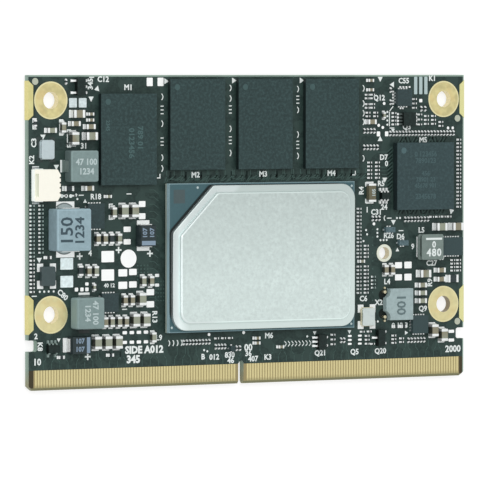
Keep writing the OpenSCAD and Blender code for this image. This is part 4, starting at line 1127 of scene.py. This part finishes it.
class MODULE_OT_legend(bpy.types.Operator):
    """Print the white legend of the board"""

    bl_idname = "module_looks.legend"
    bl_label = "Board legend"

    # Places are X and Y in millimetres, followed by the turn in degrees
    codes = (
        ("C12", -27.5, 24.3, 0), ("M1", -22.9, 23, 0), ("C3", -40, 14.3, 90), ("K2", -40.4, 11.6, 90),
        ("R18", -28.85, 5.6, 0), ("M2", -10.5, 8.9, 0), ("M3", 2.2, 8.9, 0), ("M4", 15.2, 8.9, 0),
        ("Q12", 24.4, 21.2, 0), ("K1", 34.8, 24.4, 0), ("Q3", 29.8, 16.4, 0), ("M5", 33, 14.2, 0),
        ("D7", 25.3, 11.4, 0), ("0", 25.85, 10.35, 0), ("R5", 24.8, 7.1, 0), ("C31", 23.9, 2.4, 0),
        ("R26", 26.3, -1.5, 0), ("D6", 28.6, -1.7, 0), ("L5", 32.7, -0.7, 0), ("C27", 34.7, -6.2, 0),
        ("L4", 26, -9.1, 0), ("X2", 24.4, -12.5, 0), ("Q9", 33, -13.7, 0), ("345", -29.8, 23.6, 90),
        ("46", -3.9, -21.25, 0), ("830", -4.1, -20.35, 0), ("36", -0.6, -20.2, 0), ("407", 0.3, -21.1, 0),
        ("K3", 3.1, -20.9, 0), ("M6", 3.3, -17.4, 0), ("Q21", 13.1, -20.5, 0), ("Q5", 19.7, -20.5, 0),
        ("Q20", 24.7, -20.5, 0), ("31", -31, 13.7, 0), ("4", -29.9, -3.4, 0), ("K8", -39, -18, -90),
        ("C80", -34.9, -9.9, -40), ("R13", -18.1, -13.8, -90), ("L9", -17.3, -17.2, 0),
        ("B", -9.1, -20.5, 0), ("012", -7, -20.6, 0), ("C55", 29.2, 24, 0), ("R4", 21, 6, 90),
        ("1", 22.1, 2.8, 0), ("24", 25.4, 3.2, 0), ("R9", 34.4, -9.4, 90), ("0 12 3", 28.5, -16.4, 0),
        ("C6", 21.4, -11.8, 0), ("9", 31, -3.4, 0), ("C7", 36.6, -5.3, 0), ("2", -39.7, -16.4, 0),
    )
    # Text with its place, height and the millimetres that its strokes are heavier by
    large_codes = (
        ("SIDE A012", -20, -19.05, 1.1, 0.025), ("345", -22, -20.55, 1.15, 0.025),
        ("10", -39.5, -20.5, 1, 0), ("00", -0.6, -19.25, 1.05, 0), ("40 12", -26.4, -8.6, 0.6, 0),
        ("2000", 38.95, -20.55, 1.05, 0),
    )
    corners = (
        (-40.2, 18.1, 0), (-40.2, 16.5, 90), (-35.4, 17.9, 0), (-35.4, 15.5, 90), (-34, 16.3, 0),
        (-34, 13.6, 90), (-26.4, 4.4, 0), (-26.4, 2, 90), (21.8, 7.3, 0), (21.8, 4, 90), (-17.1, 8.5, 180),
    )
    dots = (
        (-8.9, -19.4), (-8.3, -19.6), (24.2, -15.6), (10.6, -17.7), (27.9, 1.4), (28.5, 1.4),
        (24.1, -0.4), (24.1, -1), (24.1, -1.6), (24.7, -2.2), (25.3, -2.2), (25.9, -2.2), (-39, -9.3),
        (-38.2, -9.3), (-37.4, -9.3), (-36.5, -9.3), (-32.2, 5.3), (21.9, -0.5), (22.1, -1.2),
        (21.4, -2.3), (26, 18.9), (26, 18.2), (26, 17.5), (26, 16.8), (-32.4, 6),
    )
    arrows = (
        (-28.6, 22.8, -45), (-29.7, 21.3, -90), (-38.4, 15.3, -90), (-36, 10.5, -90), (-16, 24, 0),
        (-3.4, 24.1, 0), (9.4, 24.1, 0), (24.6, 24.4, -90), (24.6, 14.4, 90), (27, 23.4, 180),
        (25.5, 7.8, -90), (27.2, 0.8, -90), (38.6, 2.4, 135), (-39.1, -4.2, -90),
    )
    small_arrows = (
        (-35.6, -17, -90), (12, -17.1, -90), (18.7, -17.1, -90), (-30.8, 4.9, 90), (28, -3.9, 90),
        (29.7, -17.6, 0), (27.1, 15.9, -90),
    )
    pluses = ((-31.8, -3.8), (-24.7, -2.95), (-18.95, -3.6), (-30.35, -19.85))
    dashes = (
        (-22.8, 6), (-23.6, -12.45), (28.7, -0.7), (-29.6, 24.65), (26.4, 1.4), (-40, -10), (-31.5, 5.9),
        (26.9, 16.25),
    )
    bare_spots = ((-35, 5.8), (-34.2, 5.8), (-33.4, 5.8))
    # Columns between the memory chips: X, then the places of arcs and of dashes along Y
    columns = (
        (-16.7, (21.5, 17.2, 11.75, 10), (20, 19.4, 18.8, 14.9, 14.3, 13.75)),
        (-4, (22.9, 21.2, 16.3, 12.4), (20, 19.4, 18.85, 15, 14.45, 13.9)),
        (8.75, (22.7, 19.3, 15.3, 11.8), (21.55, 21, 20.4, 14.2, 13.65, 13.05)),
        (21.35, (22.8, 20.3, 18.7, 17.3, 11.3), ()),
    )

    def execute(self, context):
        marks = Marks(BOARD_TOP)
        for text, x, y, turn in self.codes:
            marks.label(text, x, y, 0.85, turn)
        for text, x, y, high, heavy in self.large_codes:
            marks.label(text, x, y, high, 0, heavy)
        for x, y, turn in self.corners:
            marks.corner(x, y, 0.75, 0.18, turn)
        for x, y in self.dots:
            marks.disc(x, y, 0.36, 12)
        for x, y, turn in self.arrows:
            marks.disc(x, y, 1.1, 3, turn - 90)
        for x, y, turn in self.small_arrows:
            marks.disc(x, y, 0.8, 3, turn - 90)
        for x, y in self.bare_spots:
            marks.disc(x, y, 0.6, 12)
        for x, y in self.pluses:
            marks.plus(x, y, 1.05, 0.26)
        for x, y in self.dashes:
            marks.bar(x, y, 0.9, 0.16)
        for x, arcs, dashes in self.columns:
            for y in arcs:
                marks.arc(x - 0.45, y, 0.6, 0.16, 110)
            for y in dashes:
                marks.bar(x, y, 0.55, 0.16)
        for step in range(4):
            marks.arc(-15.9 + step * 0.77, -18.1, 0.6, 0.16, 100)
        for step in range(8):
            x = 6.5 + step * 0.67
            marks.line([(x - 0.2, -18.4), (x + 0.15, -18.8), (x - 0.2, -19.2)], 0.13)
        marks.line([(19.3, 8.6), (19.8, 8.6), (19.8, 9.2)], 0.16)
        marks.line([(27.1, 19.8), (26.4, 19), (26.4, 16.6)], 0.16)
        marks.line([(-34, 15.9), (-34, 14)], 0.16)
        marks.line([(-35.4, 17.5), (-35.4, 15.9)], 0.12)
        marks.arc(25.9, 1.4, 0.5, 0.16, 110, 180)
        marks.piece("board_legend", 0.015, ink("legend_ink", looks().board.ink))
        return {"FINISHED"}


class MODULE_OT_markings(bpy.types.Operator):
    """Print the plain values and stripes on the parts"""

    bl_idname = "module_looks.markings"
    bl_label = "Part markings"

    def printed(self, node, labels, bars=()):
        """Bars and labels on the top of a node, set around its middle in millimetres."""
        low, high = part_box(node)
        middle = (low + high) / 2 / MM
        marks = Marks(high.z)
        for right, back, long, wide in bars:
            marks.bar(middle.x + right, middle.y + back, long, wide)
        for text, right, back, tall, turn in labels:
            marks.label(text, middle.x + right, middle.y + back, tall, turn)
        return marks

    def stripes(self):
        """Polarity stripe and two rows of digits on each moulded capacitor."""
        cases = solid_boxes("tantalum_bodies")
        marks = Marks(max(high.z for low, high in cases))
        for low, high in cases:
            middle = (low + high) / 2 / MM
            size = (high - low) / MM
            if size.y > size.x:
                marks.bar(middle.x, low.y / MM + 0.55, size.x - 0.3, 0.7)
                for side in (-0.65, 0.65):
                    marks.label("107", middle.x + side, middle.y + 0.45, 0.75, 90)
            else:
                marks.bar(high.x / MM - 0.5, middle.y, 0.6, size.y - 0.3)
                for side in (-0.65, 0.65):
                    marks.label("107", middle.x - 0.35, middle.y + side, 0.75)
        return marks

    def execute(self, context):
        tints = looks().parts
        pale = ink("pale_ink", display(186, 202, 202))
        dark = ink("dark_ink", display(66, 84, 92))
        marks = self.printed("large_choke", (("150", -1.28, -0.2, 2.1, 90), ("1234", 1, -0.2, 1.55, 90)))
        marks.piece("large_choke_marks", 0.004, dark)
        marks = self.printed(
            "upper_choke", (("47 100", 0.2, 0.65, 0.95, 0), ("1234", 0.2, -0.85, 0.95, 0)))
        marks.piece("upper_choke_marks", 0.01, pale)
        marks = self.printed(
            "lower_choke", (("47 100", 0.75, 0.1, 0.95, -90), ("1234", -0.65, 0.1, 0.95, -90)))
        marks.piece("lower_choke_marks", 0.01, pale)
        digits = [(digit, step - 0.8, -0.96, 1.2, 0) for step, digit in enumerate("480")]
        marks = self.printed("drum_core", (("0", 0.2, 0.37, 1.0, 0), *digits), ((0.2, 1.36, 3.15, 0.34),))
        marks.piece("drum_marks", 0.01, ink("drum_ink", display(232, 240, 238)))
        digits = [(digit, 0.15, 1.1 - step * 1.15, 1.65, -90) for step, digit in enumerate("100")]
        marks = self.printed("low_choke", digits)
        marks.piece("low_choke_marks", 0.01, ink("grey_ink", display(104, 122, 124)))
        self.stripes().piece("tantalum_marks", 0.01, ink("stripe_ink", tints.stripe))
        marks = self.printed("storage_chip", (
            ("0123456", 0.4, -0.6, 0.95, -90), ("789 01", 2, 0.2, 0.95, -90),
            ("2345", -3.9, 2.2, 0.6, -90)))
        marks.piece("storage_marks", 0.004, ink("laser_grey", shade(tints.mould, 2.7), 0.55))
        marks = self.printed("controller_chip", (
            ("0 123456", 0, 3.6, 0.8, 0), ("7890123", 0, 2.5, 0.8, 0), ("456", 0, 0.4, 0.7, 0),
            ("78901 23", 0, -0.6, 0.7, 0), ("45678 901", 0, -1.6, 0.7, 0), ("2345678", 0, -3.4, 0.8, 0)))
        marks.piece("controller_marks", 0.004, ink("laser_pale", shade(tints.controller, 1.75), 0.55))
        self.printed("fuse_body", (("105", 0.25, 0, 0.6, 90),)).piece("fuse_marks", 0.01, pale)
        low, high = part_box("processor_substrate")
        field = Marks(high.z)
        field.bar(low.x / MM + 1.9, high.y / MM - 2.1, 2.1, 2.2)
        field.piece("substrate_field", 0.006, ink("field_grey", tints.substrate_field, 0.5, 0.35))
        dots = Marks(high.z)
        for x, y in ((-11, 6.9), (-15.8, -15.55), (18.15, 6.85), (18.1, -15.75)):
            dots.disc(x, y, 0.4)
        dots.piece("substrate_marks", 0.01, pale)
        return {"FINISHED"}


class MODULE_OT_studio(bpy.types.Operator):
    """Set the camera, the pale floor and the soft light"""

    bl_idname = "module_looks.studio"
    bl_label = "Studio"

    def execute(self, context):
        sizes = looks().studio
        scene = context.scene
        scene.view_settings.view_transform = "Standard"
        view = bpy.data.cameras.new("camera")
        view.lens = sizes.lens
        view.sensor_width = 36
        view.clip_start = 0.01
        camera = bpy.data.objects.new("camera", view)
        camera.location = sizes.place
        camera.rotation_euler = sizes.turn
        scene.collection.objects.link(camera)
        scene.camera = camera
        world = bpy.data.worlds.new("surroundings")
        world.use_nodes = True
        scene.world = world
        sky = world.node_tree.nodes["Background"]
        air = Graph(world.node_tree)
        air.feed(sky.inputs["Color"], air.by_ray((sizes.ambient,) * 3, (1, 1, 1)))
        mesh = bmesh.new()
        bmesh.ops.create_grid(mesh, x_segments=1, y_segments=1, size=sizes.floor)
        bmesh.ops.translate(mesh, vec=(0, 0, cad_box[0][2] - 0.05 * MM), verts=mesh.verts)
        data = bpy.data.meshes.new("floor")
        mesh.to_mesh(data)
        mesh.free()
        pale = Finish("floor_pale", Specular_IOR_Level=0.0, Roughness=0.9, Emission_Strength=1.0)
        soft = pale.noise(6, 2)
        pale.wear(Base_Color=pale.mix(soft, (0.33, 0.33, 0.33), (0.35, 0.35, 0.35)))
        pale.wear(Emission_Color=pale.by_ray((0, 0, 0), (0.74, 0.74, 0.74)))
        data.materials.append(pale.material)
        floor = bpy.data.objects.new("floor", data)
        scene.collection.objects.link(floor)
        light = bpy.data.lights.new("key", "AREA")
        light.energy = sizes.key
        light.size = 0.4
        lamp = bpy.data.objects.new("key", light)
        lamp.location = (-0.25, 0.2, 0.5)
        lamp.rotation_euler = Vector(lamp.location).to_track_quat("Z", "Y").to_euler()
        scene.collection.objects.link(lamp)
        return {"FINISHED"}


class ModuleLooks(bpy.types.PropertyGroup):
    """All settings of the scene"""

    board: bpy.props.PointerProperty(type=BoardColours)
    parts: bpy.props.PointerProperty(type=PackageColours)
    edges: bpy.props.PointerProperty(type=RoundedEdges)
    studio: bpy.props.PointerProperty(type=StudioSizes)


OPERATORS = (
    MODULE_OT_board, MODULE_OT_processor, MODULE_OT_chips, MODULE_OT_inductors, MODULE_OT_connector,
    MODULE_OT_clocks, MODULE_OT_passives, MODULE_OT_solder, MODULE_OT_tracks, MODULE_OT_legend,
    MODULE_OT_markings, MODULE_OT_studio,
)


class MODULE_PT_sidebar(bpy.types.Panel):
    """Steps of the scene and their settings"""

    bl_label = "Module"
    bl_idname = "MODULE_PT_sidebar"
    bl_space_type = "VIEW_3D"
    bl_region_type = "UI"
    bl_category = "Module"

    def draw(self, context):
        for step in OPERATORS:
            self.layout.operator(step.bl_idname)
        settings = context.scene.module_looks
        for group in (settings.board, settings.parts, settings.edges, settings.studio):
            box = self.layout.box()
            for name in group.__annotations__:
                box.prop(group, name)


CLASSES = (
    BoardColours, PackageColours, RoundedEdges, StudioSizes, ModuleLooks, *OPERATORS, MODULE_PT_sidebar,
)


def register():
    for kind in CLASSES:
        bpy.utils.register_class(kind)
    bpy.types.Scene.module_looks = bpy.props.PointerProperty(type=ModuleLooks)


def unregister():
    del bpy.types.Scene.module_looks
    for kind in reversed(CLASSES):
        bpy.utils.unregister_class(kind)


def main():
    register()
    bpy.ops.module_looks.board()
    bpy.ops.module_looks.processor()
    bpy.ops.module_looks.chips()
    bpy.ops.module_looks.inductors()
    bpy.ops.module_looks.connector()
    bpy.ops.module_looks.clocks()
    bpy.ops.module_looks.passives()
    bpy.ops.module_looks.solder()
    bpy.ops.module_looks.tracks()
    bpy.ops.module_looks.legend()
    bpy.ops.module_looks.markings()
    bpy.ops.module_looks.studio()


if __name__ == "__main__":
    main()
